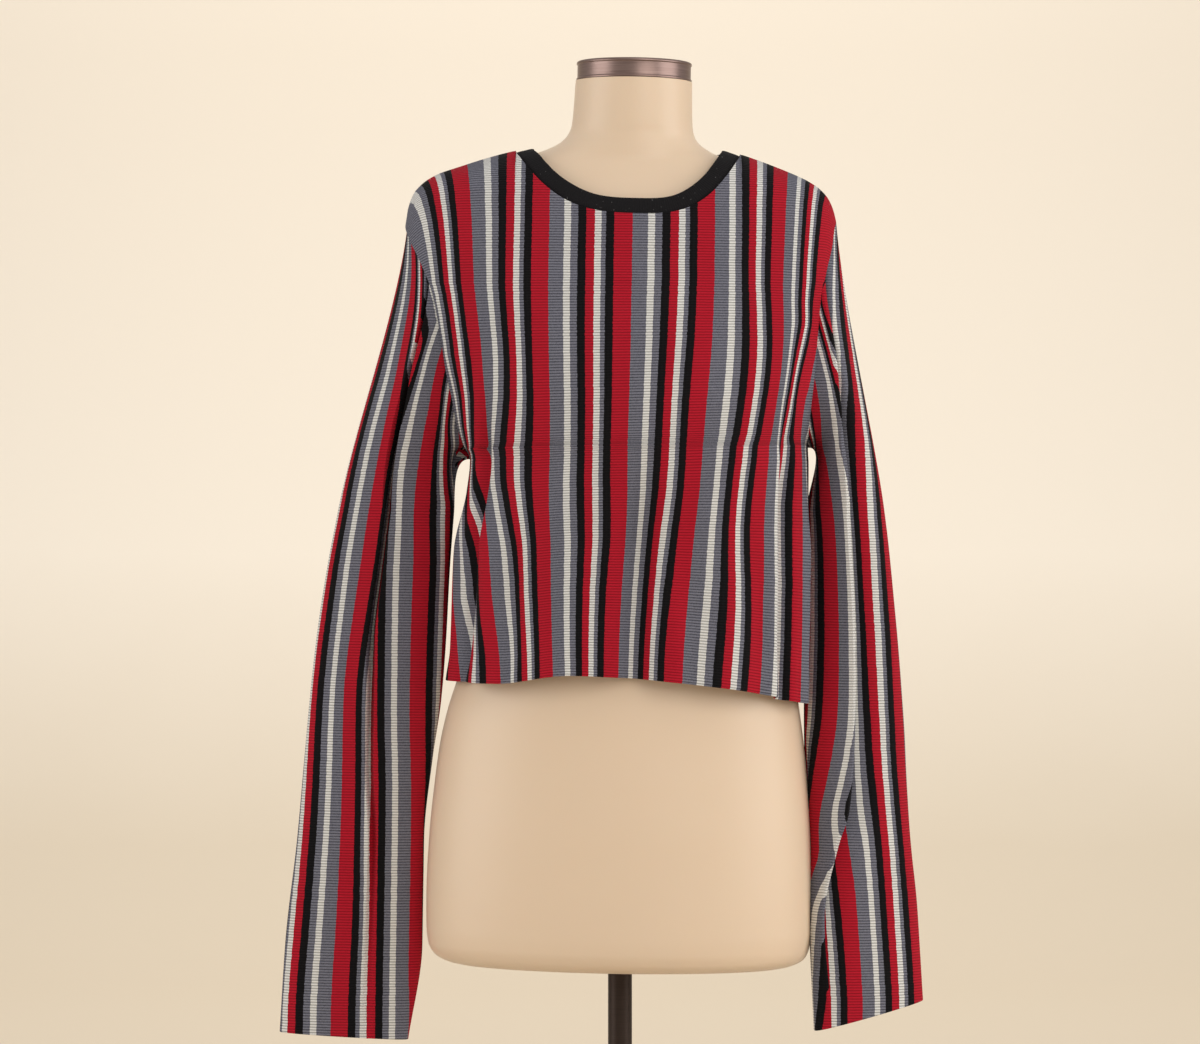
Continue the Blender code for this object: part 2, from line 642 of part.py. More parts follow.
def sleeve_cap(loop, ring, lower_ring, outward):
    """Rows that carry the sleeve from the armhole to its first level ring."""
    count = len(loop)
    turn = np.arange(count) / count * 2.0 * np.pi
    top = 0.5 + 0.5 * np.cos(turn)
    facing = -np.sin(turn)
    leave = unit(np.stack([
        outward * (0.10 + 0.95 * (1.0 - top)),
        0.25 * facing,
        -0.98 * top + 0.25 * (1.0 - top) ** 3 - 0.45 * np.abs(facing),
    ], axis=1))
    arrive = unit(lower_ring - ring)
    span = np.linalg.norm(ring - loop, axis=1)[:, None]
    start_pull = span * (0.9 + 0.25 * (1.0 - top))[:, None]
    end_pull = span * 0.9
    rows = []
    for row in range(SLEEVE_CAP_ROWS):
        part = row / SLEEVE_CAP_ROWS
        rows.append(
            loop * (1.0 + 2.0 * part) * (1.0 - part) ** 2
            + leave * start_pull * part * (1.0 - part) ** 2
            + ring * (3.0 - 2.0 * part) * part ** 2
            + arrive * end_pull * (part - 1.0) * part ** 2
        )
    return rows


def sleeve_grid(rows, outward, loop):
    """The grid of a sleeve's outer face, from the armhole to the cuff."""
    top, bottom = rows[0].z, rows[-1].z
    heights = np.linspace(top, bottom, SLEEVE_ROWS + 1)
    half_way = len(loop) // 2
    halves = (loop[:half_way + 1], np.concatenate([loop[half_way:], loop[:1]]))
    even = np.linspace(0.0, 1.0, half_way + 1)
    fractions = [lengths_along(half) / lengths_along(half)[-1] for half in halves]
    fractions = [even + (share - even) * RING_MATCH for share in fractions]
    rings = [sleeve_ring(rows, outward, z, fractions) for z in heights]
    cap = sleeve_cap(loop, rings[0], rings[1], outward)
    return np.stack(cap + rings)


def build_cloth():
    """Front, back, sleeves and neckband, with their shared seams kept apart."""
    front, front_normal = body_panel(-1, FRONT_FOLDS)
    back, back_normal = body_panel(1, BACK_FOLDS)
    last = YOKE_ROWS + ARMHOLE_ROWS
    left = sleeve_grid(SLEEVE_LEFT_ROWS, -1, armhole_loop(front, back, 0))
    right = sleeve_grid(SLEEVE_RIGHT_ROWS, 1, armhole_loop(front, back, -1))

    left_normal = tube_normals(left, -1)
    right_normal = tube_normals(right, 1)

    neck = slice(SHOULDER_COLUMNS, SHOULDER_COLUMNS + NECK_COLUMNS + 1)
    for side in (slice(0, SHOULDER_COLUMNS + 1), slice(neck.stop - 1, None)):
        share_normals(front_normal[0, side], back_normal[0, side])
    for column in (0, -1):
        share_normals(front_normal[last:, column], back_normal[last:, column])
    for column, sleeve_normal in ((0, left_normal), (-1, right_normal)):
        count = len(sleeve_normal[0])
        loop = armhole_loop(front_normal, back_normal, column)
        common = unit(loop + sleeve_normal[0])
        sleeve_normal[0] = common
        front_normal[:last + 1, column] = common[:last + 1]
        back_normal[:last + 1, column] = common[(-np.arange(last + 1)) % count]
        share = unit(front_normal[last, column] + back_normal[last, column])
        front_normal[last, column] = share
        back_normal[last, column] = share

    walls = {}
    for name, grid, normal in (("front", front, front_normal), ("back", back, back_normal),
                               ("sleeve_left", left, left_normal),
                               ("sleeve_right", right, right_normal)):
        walls[name] = (grid.copy(), grid - normal * WALL)
    half_gap = 0.5 * SEAM_GAP
    beside_armpit = np.abs(np.arange(len(front)) - last)
    edge_gap = half_gap * (1.0 + ARMPIT_EASE * bell(beside_armpit / 3.0))
    ring_gap = np.concatenate([edge_gap[:last + 1], edge_gap[1:last][::-1]])
    for name in ("front", "back"):
        pair = walls[name]
        pull_back(pair, np.s_[:, 0], np.s_[:, 1], edge_gap)
        pull_back(pair, np.s_[:, -1], np.s_[:, -2], edge_gap)
        pull_back(pair, np.s_[0], np.s_[1], half_gap)
    for name in ("sleeve_left", "sleeve_right"):
        pull_back(walls[name], np.s_[0], np.s_[1], ring_gap)
    for name, pair in walls.items():
        wall_solid(name, pair[0], pair[1], closed=name.startswith("sleeve"))
    build_neckband(front[0, neck], back[0, neck], front_normal[0, neck], back_normal[0, neck])


def build_neckband(front_edge, back_edge, front_normal, back_normal):
    """The doubled rib round the neck, standing on from the panels' own slope."""
    seam = np.concatenate([front_edge[:-1], back_edge[::-1][:-1]])
    outward = np.concatenate([front_normal[:-1], back_normal[::-1][:-1]])
    along = np.gradient(np.concatenate([seam[-1:], seam, seam[:1]]), axis=0)[1:-1]
    outward = unit(outward - unit(along) * np.sum(outward * unit(along), axis=1)[:, None])
    rise = unit(np.cross(along, outward))
    if np.mean(rise[:, 2]) < 0.0:
        rise = -rise
    lean = unit(rise - 0.10 * outward)
    steps = (0.0, 0.07, 0.5, 0.93, 1.0)
    rounding = (0.45, 0.0, 0.0, 0.0, 0.45)
    outer_rows = []
    inner_rows = []
    for step, shy in zip(steps, rounding):
        middle = seam + lean * (SEAM_GAP + BAND_HEIGHT * step)
        outer_rows.append(middle - outward * shy)
        inner_rows.append(middle - outward * (BAND_WALL - shy))
    wall_solid("neckband", np.stack(outer_rows), np.stack(inner_rows), closed=True)


def build_form():
    """The torso and neck, lofted through the form's level sections."""
    heights = [row.z for row in FORM_SECTIONS]
    fine = []
    for low, high in zip(heights[:-1], heights[1:]):
        pieces = max(1, round((high - low) / 40.0))
        fine.extend(low + (high - low) * np.arange(pieces) / pieces)
    fine.append(heights[-1])
    rings = []
    angle = np.linspace(0.0, 2.0 * np.pi, 4 * FINE)
    for z in fine:
        left = smooth_value(FORM_SECTIONS, "z", "left", z)
        right = smooth_value(FORM_SECTIONS, "z", "right", z)
        front = smooth_value(FORM_SECTIONS, "z", "front", z)
        back = smooth_value(FORM_SECTIONS, "z", "back", z)
        x = 0.5 * (left + right) + 0.5 * (right - left) * np.cos(angle)
        depth = np.where(np.sin(angle) < 0.0, front, back)
        line = np.stack([x, RIDGE_Y + depth * np.sin(angle), np.full_like(x, z)], axis=1)
        rings.append(divide_evenly(line, np.arange(FORM_COLUMNS) / FORM_COLUMNS))
    grid = leaned(np.stack(rings))
    rows = len(rings)
    faces = []
    for row in range(rows - 1):
        for column in range(FORM_COLUMNS):
            beside = (column + 1) % FORM_COLUMNS
            faces.append([row * FORM_COLUMNS + column, row * FORM_COLUMNS + beside,
                          (row + 1) * FORM_COLUMNS + beside, (row + 1) * FORM_COLUMNS + column])
    faces.append(list(range(FORM_COLUMNS)))
    faces.append(list(range((rows - 1) * FORM_COLUMNS, rows * FORM_COLUMNS)))
    finish_object("form_torso", mesh_from("form_torso", grid.reshape(-1, 3), faces))


def turned(name, profile, steps):
    """A solid turned about Z from a profile of (radius, height), top to bottom."""
    mesh = bpy.data.meshes.new(name + "_profile")
    points = [(radius * MM, 0.0, height * MM) for radius, height in profile]
    mesh.from_pydata(points, [(index, index + 1) for index in range(len(points) - 1)], [])
    item = bpy.data.objects.new(name + "_profile", mesh)
    bpy.context.scene.collection.objects.link(item)
    screw = item.modifiers.new("turn", "SCREW")
    screw.steps = steps
    screw.render_steps = steps
    screw.use_merge_vertices = True
    screw.merge_threshold = 0.00001
    view = bpy.context.evaluated_depsgraph_get()
    solid = bpy.data.meshes.new_from_object(item.evaluated_get(view))
    bpy.data.objects.remove(item, do_unlink=True)
    work = bmesh.new()
    work.from_mesh(solid)
    bmesh.ops.remove_doubles(work, verts=work.verts, dist=0.00001)
    bmesh.ops.recalc_face_normals(work, faces=work.faces)
    work.to_mesh(solid)
    work.free()
    solid.name = name
    return finish_object(name, solid)


def build_cap():
    """The metal cap that closes the neck, leaned with the form."""
    low = NECK_TOP + SEAM_GAP
    high = low + CAP_HEIGHT
    profile = ((0.0, high + 2.5), (20.0, high + 2.2), (38.0, high + 1.2),
               (CAP_RADIUS - 3.0, high), (CAP_RADIUS - 0.8, high - 0.7),
               (CAP_RADIUS, high - 2.2), (CAP_RADIUS, low + 0.8),
               (CAP_RADIUS - 0.8, low), (0.0, low))
    item = turned("neck_cap", profile, 40)
    shift = Matrix.Translation((FORM_CENTRE_X * MM, 0.0, LEAN_PIVOT_Z * MM))
    lean = Matrix.Rotation(math.radians(LEAN_DEGREES), 4, "Y")
    middle = Matrix.Translation((-FORM_CENTRE_X * MM, (RIDGE_Y - 1.0) * MM, -LEAN_PIVOT_Z * MM))
    item.matrix_world = shift @ lean @ middle


def build_stand():
    """The pole and the round base that it stands on."""
    top = FORM_BOTTOM - 0.6
    foot = BASE_THICKNESS + SEAM_GAP
    pole = ((0.0, top), (POLE_RADIUS, top), (POLE_RADIUS, foot), (0.0, foot))
    turned("stand_pole", pole, 24)
    base = ((0.0, BASE_THICKNESS), (BASE_RADIUS - 4.0, BASE_THICKNESS),
            (BASE_RADIUS - 1.2, BASE_THICKNESS - 1.2), (BASE_RADIUS, BASE_THICKNESS - 4.0),
            (BASE_RADIUS, 1.0), (BASE_RADIUS - 1.0, 0.0), (0.0, 0.0))
    turned("stand_base", base, 64)


def main():
    """Build every piece."""
    clear_scene()
    build_cloth()
    build_form()
    build_cap()
    build_stand()


main()
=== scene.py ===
"""Striped knit sweater on a limbless dress form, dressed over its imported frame.

Lengths in the tables are millimetres, as measured on the garment, and the tables describe
it standing upright. Both garment and form are then leaned together by LEAN_DEGREES. The
front faces -Y, and "left" is the side that a viewer in front of it has on the left.
"""
import json
import logging
import math
from dataclasses import dataclass
from enum import Enum
from typing import NamedTuple, Optional, Sequence

import bmesh
import bpy
import numpy as np
from mathutils import Matrix, Vector

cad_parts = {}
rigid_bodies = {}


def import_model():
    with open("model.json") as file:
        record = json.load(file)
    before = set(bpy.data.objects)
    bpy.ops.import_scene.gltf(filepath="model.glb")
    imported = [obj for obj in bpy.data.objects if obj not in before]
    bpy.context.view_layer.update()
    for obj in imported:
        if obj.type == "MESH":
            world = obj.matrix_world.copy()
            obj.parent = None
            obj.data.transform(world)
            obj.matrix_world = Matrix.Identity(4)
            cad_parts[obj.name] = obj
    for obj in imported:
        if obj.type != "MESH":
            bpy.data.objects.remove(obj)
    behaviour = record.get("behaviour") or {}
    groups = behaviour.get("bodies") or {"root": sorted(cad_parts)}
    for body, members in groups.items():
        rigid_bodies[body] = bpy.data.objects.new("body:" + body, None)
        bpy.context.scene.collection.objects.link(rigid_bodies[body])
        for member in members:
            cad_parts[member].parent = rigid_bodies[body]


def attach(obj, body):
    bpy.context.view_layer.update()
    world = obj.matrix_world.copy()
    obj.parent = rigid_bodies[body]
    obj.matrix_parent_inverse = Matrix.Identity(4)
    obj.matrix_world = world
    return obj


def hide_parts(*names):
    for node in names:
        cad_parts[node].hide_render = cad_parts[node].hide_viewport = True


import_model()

LOG = logging.getLogger("striped_sweater")
MM = 0.001

# Sizes of the garment and its stand, in millimetres.
WALL = 1.9
BAND_HEIGHT = 16.5
BAND_WALL = 2.6
RIDGE_Y = 4.0
LEAN_DEGREES = 0.9
LEAN_CENTRE_X = -5.0
LEAN_PIVOT_Z = 670.0
NECK_TOP = 1474.5
CAP_HEIGHT = 17.0
CAP_RADIUS = 52.0
POLE_RADIUS = 10.8
BASE_RADIUS = 160.0
BASE_THICKNESS = 9.0
POLE_TOP = 677.4
COURSE_PITCH = 2.5         # height of one knitted rib
STRIPE_REPEAT = 74.7       # width of one run of stripes
# Knit across the back at the armpits, in mm.
BACK_WIDTH = 486.0
BAND_RIB_PITCH = 2.3       # neckband ribs, measured along the seam

# How finely the pieces are cut.
FINE = 200
PANEL_COLUMNS = 168
YOKE_ROWS = 40
ARMHOLE_ROWS = 46
SIDE_ROWS = 66
CAP_ROWS = 40
SLEEVE_ROWS = 104
BACK_COLUMNS = 56
BAND_PROFILE = 18


class Facing(Enum):
    """The side of the body that a panel covers."""

    FRONT = -1
    BACK = 1


class Side(Enum):
    """A side of the garment, as a viewer in front of it sees it."""

    LEFT = -1
    RIGHT = 1


class Section(NamedTuple):
    """A level section of the form. front and back are depths from the seam plane."""

    z: float
    left: float
    right: float
    front: float
    back: float
    square: float = 2.0


class ClothSection(NamedTuple):
    """A level section of the cloth. square is its exponent: 2 is an ellipse."""

    z: float
    left: float
    right: float
    front: float
    back: float
    square: float


class Armhole(NamedTuple):
    """Where the armholes cut the level sections."""

    z: float
    left: float
    right: float


class Hem(NamedTuple):
    """Height of the hem at a fraction of a panel's width."""

    across: float
    front: float
    back: float


class Fold(NamedTuple):
    """A soft fold of a panel. A positive height is a ridge, a negative one a valley."""

    top: float
    bottom: float
    across_top: float
    across_bottom: float
    half_width: float
    height: float


class StripeRow(NamedTuple):
    """Where the wide red stripes of the front lie, as x, and the edges' place in the knit.

    at_left and at_right are distances in the flat knit from the middle red stripe.
    """

    z: float
    two_left: float
    one_left: float
    middle: float
    one_right: float
    two_right: float
    three_right: float
    at_left: float
    at_right: float


class SleeveRow(NamedTuple):
    """A level section of a sleeve, its long fold and its first red stripe.

    outer and inner are distances from the body's middle, thick the tube's depth, turn the
    angle that brings the inner edge forward, droop how far the inner edge hangs. fold_x is
    where the fold shows and hidden how much knit it takes in.
    """

    z: float
    outer: float
    inner: float
    y: float
    thick: float
    turn: float
    droop: float
    fold_x: float
    hidden: float


class MarkRow(NamedTuple):
    """Where four stripes of a sleeve show, as distances from the body's middle."""

    z: float
    first: float
    second: float
    third: float
    fourth: float


class Yarn(NamedTuple):
    """One stripe: its width, and the sRGB colours of its ribs and of the painted shade in its
    grooves.
    """

    name: str
    width: float
    rib: str
    groove: str
    marl: float


FORM_SECTIONS = (
    Section(678.0, -128, 124, 74, 84),
    Section(679.0, -144, 141, 86, 98),
    Section(682.0, -158, 156, 94, 109),
    Section(688.0, -168, 166, 100, 116),
    Section(697.0, -173, 170, 104, 120),
    Section(712.0, -175, 172, 106, 122),
    Section(745.0, -175.5, 172, 107, 123),
    Section(790.0, -174, 170.5, 107, 122),
    Section(843.0, -169.5, 166.5, 105, 117),
    Section(879.0, -165, 162.5, 103, 112),
    Section(907.0, -159, 158.5, 102, 107),
    Section(934.0, -151, 154, 100, 102),
    Section(961.0, -144, 147, 97, 96),
    Section(1006.0, -129, 131, 90, 88),
    Section(1051.0, -121, 121, 87, 84),
    Section(1096.0, -125, 124, 94, 84),
    Section(1130.0, -131, 129, 104, 86),
    Section(1160.0, -137, 135, 111, 87),
    Section(1190.0, -144, 141.5, 112, 89),
    Section(1220.0, -153, 146, 108, 91),
    Section(1255.0, -167, 156, 102, 92),
    Section(1300.0, -186, 170, 91, 90),
    Section(1330.0, -195, 176, 84, 86),
    Section(1352.6, -195.5, 175, 74, 77),
    Section(1366.6, -190, 169, 68, 72),
    Section(1375.6, -183, 162, 63.5, 67.5),
    Section(1382.6, -174, 153, 60, 64),
    Section(1390.6, -154, 135.5, 56.5, 60),
    Section(1396.6, -136, 120.5, 54, 57),
    Section(1401.1, -119, 105.5, 52.5, 54.5),
    Section(1405.6, -99, 88.5, 52, 53),
    Section(1410.0, -83, 74, 52, 52),
    Section(1414.5, -72.5, 66, 52, 51.5),
    Section(1419.0, -65, 60, 52, 51),
    Section(1425.5, -59, 55.5, 52, 51),
    Section(1434.0, -55.5, 53.5, 52.5, 51),
    Section(1450.0, -54, 52.8, 52.8, 51),
    Section(NECK_TOP, -52.6, 52.4, 53, 51),
)

CLOTH_SECTIONS = (
    ClothSection(900.0, -158, 163, 122, 114, 2.5),
    ClothSection(934.0, -156, 162.5, 121, 112, 2.5),
    ClothSection(961.0, -152.5, 162, 119, 108, 2.5),
    ClothSection(1006.0, -151, 163, 116, 102, 2.5),
    ClothSection(1051.0, -150.5, 163, 115, 98, 2.5),
    ClothSection(1100.0, -143.5, 161, 117, 96, 2.5),
    ClothSection(1132.0, -140.5, 160.5, 119, 96, 2.5),
    ClothSection(1149.0, -149.5, 159.5, 120, 97, 2.45),
    ClothSection(1163.0, -156.5, 163, 120, 98, 2.4),
    ClothSection(1184.0, -165, 169.5, 120, 100, 2.35),
    ClothSection(1210.0, -175, 176, 118, 101, 2.3),
    ClothSection(1239.0, -183, 178.5, 114, 102, 2.25),
    ClothSection(1278.0, -194, 181.5, 105, 100, 2.2),
    ClothSection(1310.0, -201, 184, 96, 96, 2.15),
    ClothSection(1324.0, -202, 184.5, 93, 94, 2.1),
    ClothSection(1342.0, -202, 183.5, 87, 89, 2.1),
    ClothSection(1356.0, -200, 181, 81.5, 84.5, 2.1),
    ClothSection(1370.0, -195, 175.5, 76.5, 80.5, 2.1),
    ClothSection(1379.0, -187, 167.5, 72.5, 76.5, 2.1),
    ClothSection(1386.0, -176, 156.5, 69, 73, 2.1),
    ClothSection(1394.0, -154, 138, 66, 69, 2.1),
    ClothSection(1400.0, -136, 122, 64, 66, 2.1),
    ClothSection(1404.5, -121, 109, 62.5, 63.5, 2.1),
    ClothSection(1409.0, -104, 95, 61.5, 61.5, 2.1),
)

ARMHOLE_FRONT = (
    Armhole(1130.0, -140.5, 160.5),
    Armhole(1149.0, -147.5, 159.5),
    Armhole(1163.0, -152, 159.5),
    Armhole(1184.0, -156, 161),
    Armhole(1210.0, -162, 163.5),
    Armhole(1239.0, -167, 165.5),
    Armhole(1278.0, -175, 168.5),
    Armhole(1310.0, -188.5, 174),
    Armhole(1326.0, -196.5, 178),
    Armhole(1342.0, -202, 179.9),
    Armhole(1351.0, -202, 182),
)
ARMHOLE_BACK_SHIFT = 4.0
ARMPIT_Z = {Side.LEFT: 1132.0, Side.RIGHT: 1149.0}
TIP_Z = {Side.LEFT: 1342.0, Side.RIGHT: 1351.0}
YOKE_Z = {Side.LEFT: 1288.0, Side.RIGHT: 1292.0}
NECK_POINT_Z = 1408.6
NECK_LOWEST_X = 6.0
NECK_LOWEST_Z = {Facing.FRONT: 1350.5, Facing.BACK: 1397.0}
NECK_CURVE = {Facing.FRONT: 3.0, Facing.BACK: 2.0}

HEM_LINE = (
    Hem(0.00, 934.0, 934.0),
    Hem(0.12, 934.0, 929.0),
    Hem(0.34, 943.0, 932.0),
    Hem(0.52, 941.0, 928.0),
    Hem(0.70, 936.0, 929.0),
    Hem(0.88, 928.0, 922.0),
    Hem(1.00, 918.0, 918.0),
)

FRONT_FOLDS = (
    Fold(1225.0, 900.0, 0.160, 0.118, 17.0, -11.0),
    Fold(1130.0, 900.0, 0.060, 0.055, 18.0, 4.0),
    Fold(1105.0, 890.0, 0.200, 0.185, 16.0, 3.5),
    Fold(1085.0, 900.0, 0.255, 0.262, 17.0, -5.0),
    Fold(1150.0, 900.0, 0.355, 0.365, 30.0, 4.5),
    Fold(1160.0, 880.0, 0.502, 0.512, 27.0, -13.0),
    Fold(1060.0, 880.0, 0.575, 0.590, 14.0, 3.5),
    Fold(1170.0, 900.0, 0.650, 0.680, 30.0, 4.0),
    Fold(1060.0, 890.0, 0.760, 0.765, 17.0, -3.5),
    Fold(1205.0, 900.0, 0.820, 0.830, 15.0, -12.5),
    Fold(1130.0, 900.0, 0.905, 0.905, 14.0, 4.5),
)
BACK_FOLDS = (
    Fold(1205.0, 900.0, 0.160, 0.150, 18.0, -10.0),
    Fold(1120.0, 900.0, 0.080, 0.085, 18.0, 4.0),
    Fold(1170.0, 890.0, 0.310, 0.330, 26.0, -7.0),
    Fold(1130.0, 900.0, 0.430, 0.440, 26.0, 4.5),
    Fold(1180.0, 880.0, 0.560, 0.560, 26.0, -8.0),
    Fold(1120.0, 900.0, 0.690, 0.690, 28.0, 4.5),
    Fold(1200.0, 900.0, 0.845, 0.840, 18.0, -10.0),
)

STRIPE_ROWS = (
    StripeRow(1354.0, -153, -83, -8, 66, 126, 178, -212, 230),
    StripeRow(1318.0, -148, -82, -8, 65, 127, 176, -210, 229),
    StripeRow(1273.0, -142, -80, -8, 65, 129, 167, -206, 229),
    StripeRow(1229.0, -135, -79, -8, 63, 131, 160, -206, 234),
    StripeRow(1185.0, -130, -76, -8, 59, 125, 147, -216, 240),
    StripeRow(1141.0, -134, -77, -9, 57, 118, 149, -240, 246),
    StripeRow(1097.0, -129, -76, -8, 55, 113, 151, -246, 246),
    StripeRow(1054.0, -124, -72, -9, 50, 113, 151, -248, 246),
    StripeRow(1010.0, -123, -71, -12, 46, 116, 151, -248, 246),
    StripeRow(966.0, -116, -69, -13, 42, 116, 151, -248, 246),
    StripeRow(940.0, -116, -68, -13, 41, 113, 151, -248, 246),
)

LEFT_ROWS = (
    SleeveRow(1085.0, 260.5, 156, 8, 74, 0, 0, 215, 30),
    SleeveRow(1034.0, 269.5, 159, 8, 66, 0, 0, 221, 27),
    SleeveRow(968.0, 278.5, 161.5, 8, 58, 0, 0, 228, 21),
    SleeveRow(915.0, 283.5, 165, 8, 54, 0, 0, 228, 16),
    SleeveRow(862.0, 287.5, 172, 8, 50, 0, 0, 228, 12),
    SleeveRow(788.0, 293, 178.5, 8, 46, 0, 0, 224, 8),
    SleeveRow(697.0, 302, 178.5, 8, 38, 0, 2, 225.5, 2),
    SleeveRow(614.0, 306, 190, 8, 28, 0, 5, 227, 0),
)
RIGHT_ROWS = (
    SleeveRow(1085.0, 230.5, 163, 10, 84, 8, 0, 197, 72),
    SleeveRow(1063.0, 233.5, 163.5, 10, 82, 10, 0, 198.6, 72),
    SleeveRow(1012.0, 239.5, 163.5, 10, 76, 12, 0, 202.4, 72),
    SleeveRow(967.0, 244.5, 164, 10, 71, 14, 0, 204.6, 72),
    SleeveRow(930.0, 248, 164, 10, 67, 16, 0, 205.2, 72),
    SleeveRow(890.0, 251.5, 164.5, 10, 63, 19, 1, 205.2, 72),
    SleeveRow(850.0, 254, 166.5, 9, 59, 20, 3, 203.5, 67),
    SleeveRow(824.0, 256, 168, 8.5, 55.5, 21, 4.5, 201, 60),
    SleeveRow(796.0, 258.5, 170, 8, 52, 22, 6, 192, 50),
    SleeveRow(738.0, 265.5, 171, 6, 44, 22, 12, 180.5, 14),
    SleeveRow(650.0, 272.5, 176.5, 4, 33, 22, 25, 190, 0),
)
HIDDEN_AT_ARMHOLE = {Side.LEFT: 12.0, Side.RIGHT: 58.0}
EDGE_AT_ARMHOLE = 45.7     # the outer edge's place in the knit there
KNIT_AT_ARMHOLE = 150.0    # knit round half an armhole, folds left out

LEFT_MARKS = (
    MarkRow(1328, 200.7, 196.2, 145.0, 127.1),
    MarkRow(1310, 199.5, 195.0, 151.0, 134.0),
    MarkRow(1292, 200.6, 193.4, 157.0, 139.1),
    MarkRow(1274, 202.5, 194.4, 163.0, 146.0),
    MarkRow(1256, 205.8, 196.4, 169.9, 154.7),
    MarkRow(1229, 211.2, 200.9, 178.5, 163.2),
    MarkRow(1202, 216.5, 204.9, 185.2, 168.6),
    MarkRow(1175, 224.1, 210.3, 192.4, 171.8),
    MarkRow(1148, 230.9, 214.8, 198.2, 177.6),
    MarkRow(1112, 237.9, 221.4, 203.9, 183.3),
    MarkRow(1076, 244.0, 227.0, 204.2, 185.0),
    MarkRow(1040, 249.7, 231.4, 205.9, 183.6),
    MarkRow(1005, 253.7, 236.7, 206.7, 184.8),
    MarkRow(915, 262.1, 246.9, 206.6, 186.1),
    MarkRow(825, 264.3, 246.4, 204.3, 183.8),
    MarkRow(736, 269.1, 247.7, 204.3, 183.7),
    MarkRow(646, 275.3, 251.6, 204.7, 184.1),
)
RIGHT_MARKS = (
    MarkRow(1316, 183.7, 180.1, 147.8, 133.4),
    MarkRow(1281, 186.0, 180.6, 157.3, 143.0),
    MarkRow(1263, 188.1, 181.4, 162.1, 147.7),
    MarkRow(1236, 191.2, 183.1, 168.8, 153.5),
    MarkRow(1208, 194.5, 185.6, 175.3, 159.7),
    MarkRow(1182, 196.8, 188.3, 181.5, 164.1),
    MarkRow(1155, 199.4, 190.5, 186.4, 169.9),
    MarkRow(1119, 202.2, 195.1, 192.4, 177.2),
    MarkRow(1083, 205.0, 198.7, 195.6, 181.3),
    MarkRow(1048, 207.8, 201.5, 198.0, 184.1),
    MarkRow(1012, 210.6, 204.3, 200.3, 185.6),
    MarkRow(967, 214.0, 206.4, 201.9, 186.7),
    MarkRow(922, 216.9, 207.8, 203.0, 186.4),
    MarkRow(869, 220.5, 210.3, 199.0, 180.6),
    MarkRow(824, 225.3, 213.9, 190.0, 173.4),
    MarkRow(779, 230.5, 219.8, 186.0, 169.5),
    MarkRow(744, 233.6, 223.3, 184.0, 168.0),
    MarkRow(654, 241.3, 231.0, 184.0, 168.0),
)
# The marks' places in the knit: white, red, white, red, and black, white, white, red.
MARK_PLACES = {Side.LEFT: (25.25, 0.0, -49.45, -74.7), Side.RIGHT: (38.5, 25.25, -49.45, -74.7)}

# The run of stripes, from the left edge of the wide red one. The second colour of each is shade
# painted into its grooves.
YARNS = (
    Yarn("red", 16.2, "#BE1C2F", "#86101E", 0.10),
    Yarn("marl", 13.8, "#7E7E8A", "#363640", 0.80),
    Yarn("white", 5.9, "#ECEAE6", "#8F8D89", 0.12),
    Yarn("marl", 6.6, "#7E7E8A", "#363640", 0.80),
    Yarn("black", 7.3, "#161416", "#080708", 0.15),
    Yarn("red", 7.6, "#BE1C2F", "#86101E", 0.10),
    Yarn("white", 5.9, "#ECEAE6", "#8F8D89", 0.12),
    Yarn("marl", 4.1, "#7E7E8A", "#363640", 0.80),
    Yarn("black", 7.3, "#161416", "#080708", 0.15),
)


@dataclass
class Grid:
    """A grid of surface points with their place in the flat knit.

    Attributes:
        points: rows x columns x 3, in millimetres, upright.
        knit: rows x columns x 2: across the stripes and along them, in millimetres.
        closed: whether the last column joins the first.
        seam: column of a lengthwise seam, or -1.
        seam_knit: rows x 2: the seam's place in the knit for the columns after it.
    """

    points: np.ndarray
    knit: np.ndarray
    closed: bool
    seam: int = -1
    seam_knit: Optional[np.ndarray] = None


class Table:
    """A table of named columns, read between its rows on a curve that never overshoots."""

    def __init__(self, rows: Sequence[NamedTuple], key: str = "z") -> None:
        """Args: rows: the table. key: the column it is read by."""
        self.rows = sorted(rows, key=lambda row: getattr(row, key))
        self.keys = np.array([getattr(row, key) for row in self.rows], dtype=float)

    def at(self, name: str, where: np.ndarray) -> np.ndarray:
        """Args: name: a column. where: values of the key. Returns: the column there."""
        values = np.array([getattr(row, name) for row in self.rows], dtype=float)
        return smooth_interp(self.keys, values, where)


def smooth_interp(keys: np.ndarray, values: np.ndarray, where: np.ndarray) -> np.ndarray:
    """Interpolate monotonically between knots.

    Args:
        keys: rising places of the knots.
        values: the knots' values.
        where: places to read.

    Returns:
        The values there, held level outside the knots.
    """
    where = np.clip(np.asarray(where, dtype=float), keys[0], keys[-1])
    steps = np.diff(keys)
    slopes = np.diff(values) / steps
    tangents = np.zeros_like(values)
    before = 2.0 * steps[1:] + steps[:-1]
    after = steps[1:] + 2.0 * steps[:-1]
    with np.errstate(divide="ignore", invalid="ignore"):
        blend = (before + after) / (before / slopes[:-1] + after / slopes[1:])
    tangents[1:-1] = np.where(slopes[:-1] * slopes[1:] > 0.0, blend, 0.0)
    tangents[0], tangents[-1] = slopes[0], slopes[-1]
    cell = np.clip(np.searchsorted(keys, where, side="right") - 1, 0, len(steps) - 1)
    step = steps[cell]
    part = (where - keys[cell]) / step
    return (
        values[cell] * (1.0 + 2.0 * part) * (1.0 - part) ** 2
        + tangents[cell] * step * part * (1.0 - part) ** 2
        + values[cell + 1] * (3.0 - 2.0 * part) * part ** 2
        + tangents[cell + 1] * step * (part - 1.0) * part ** 2
    )


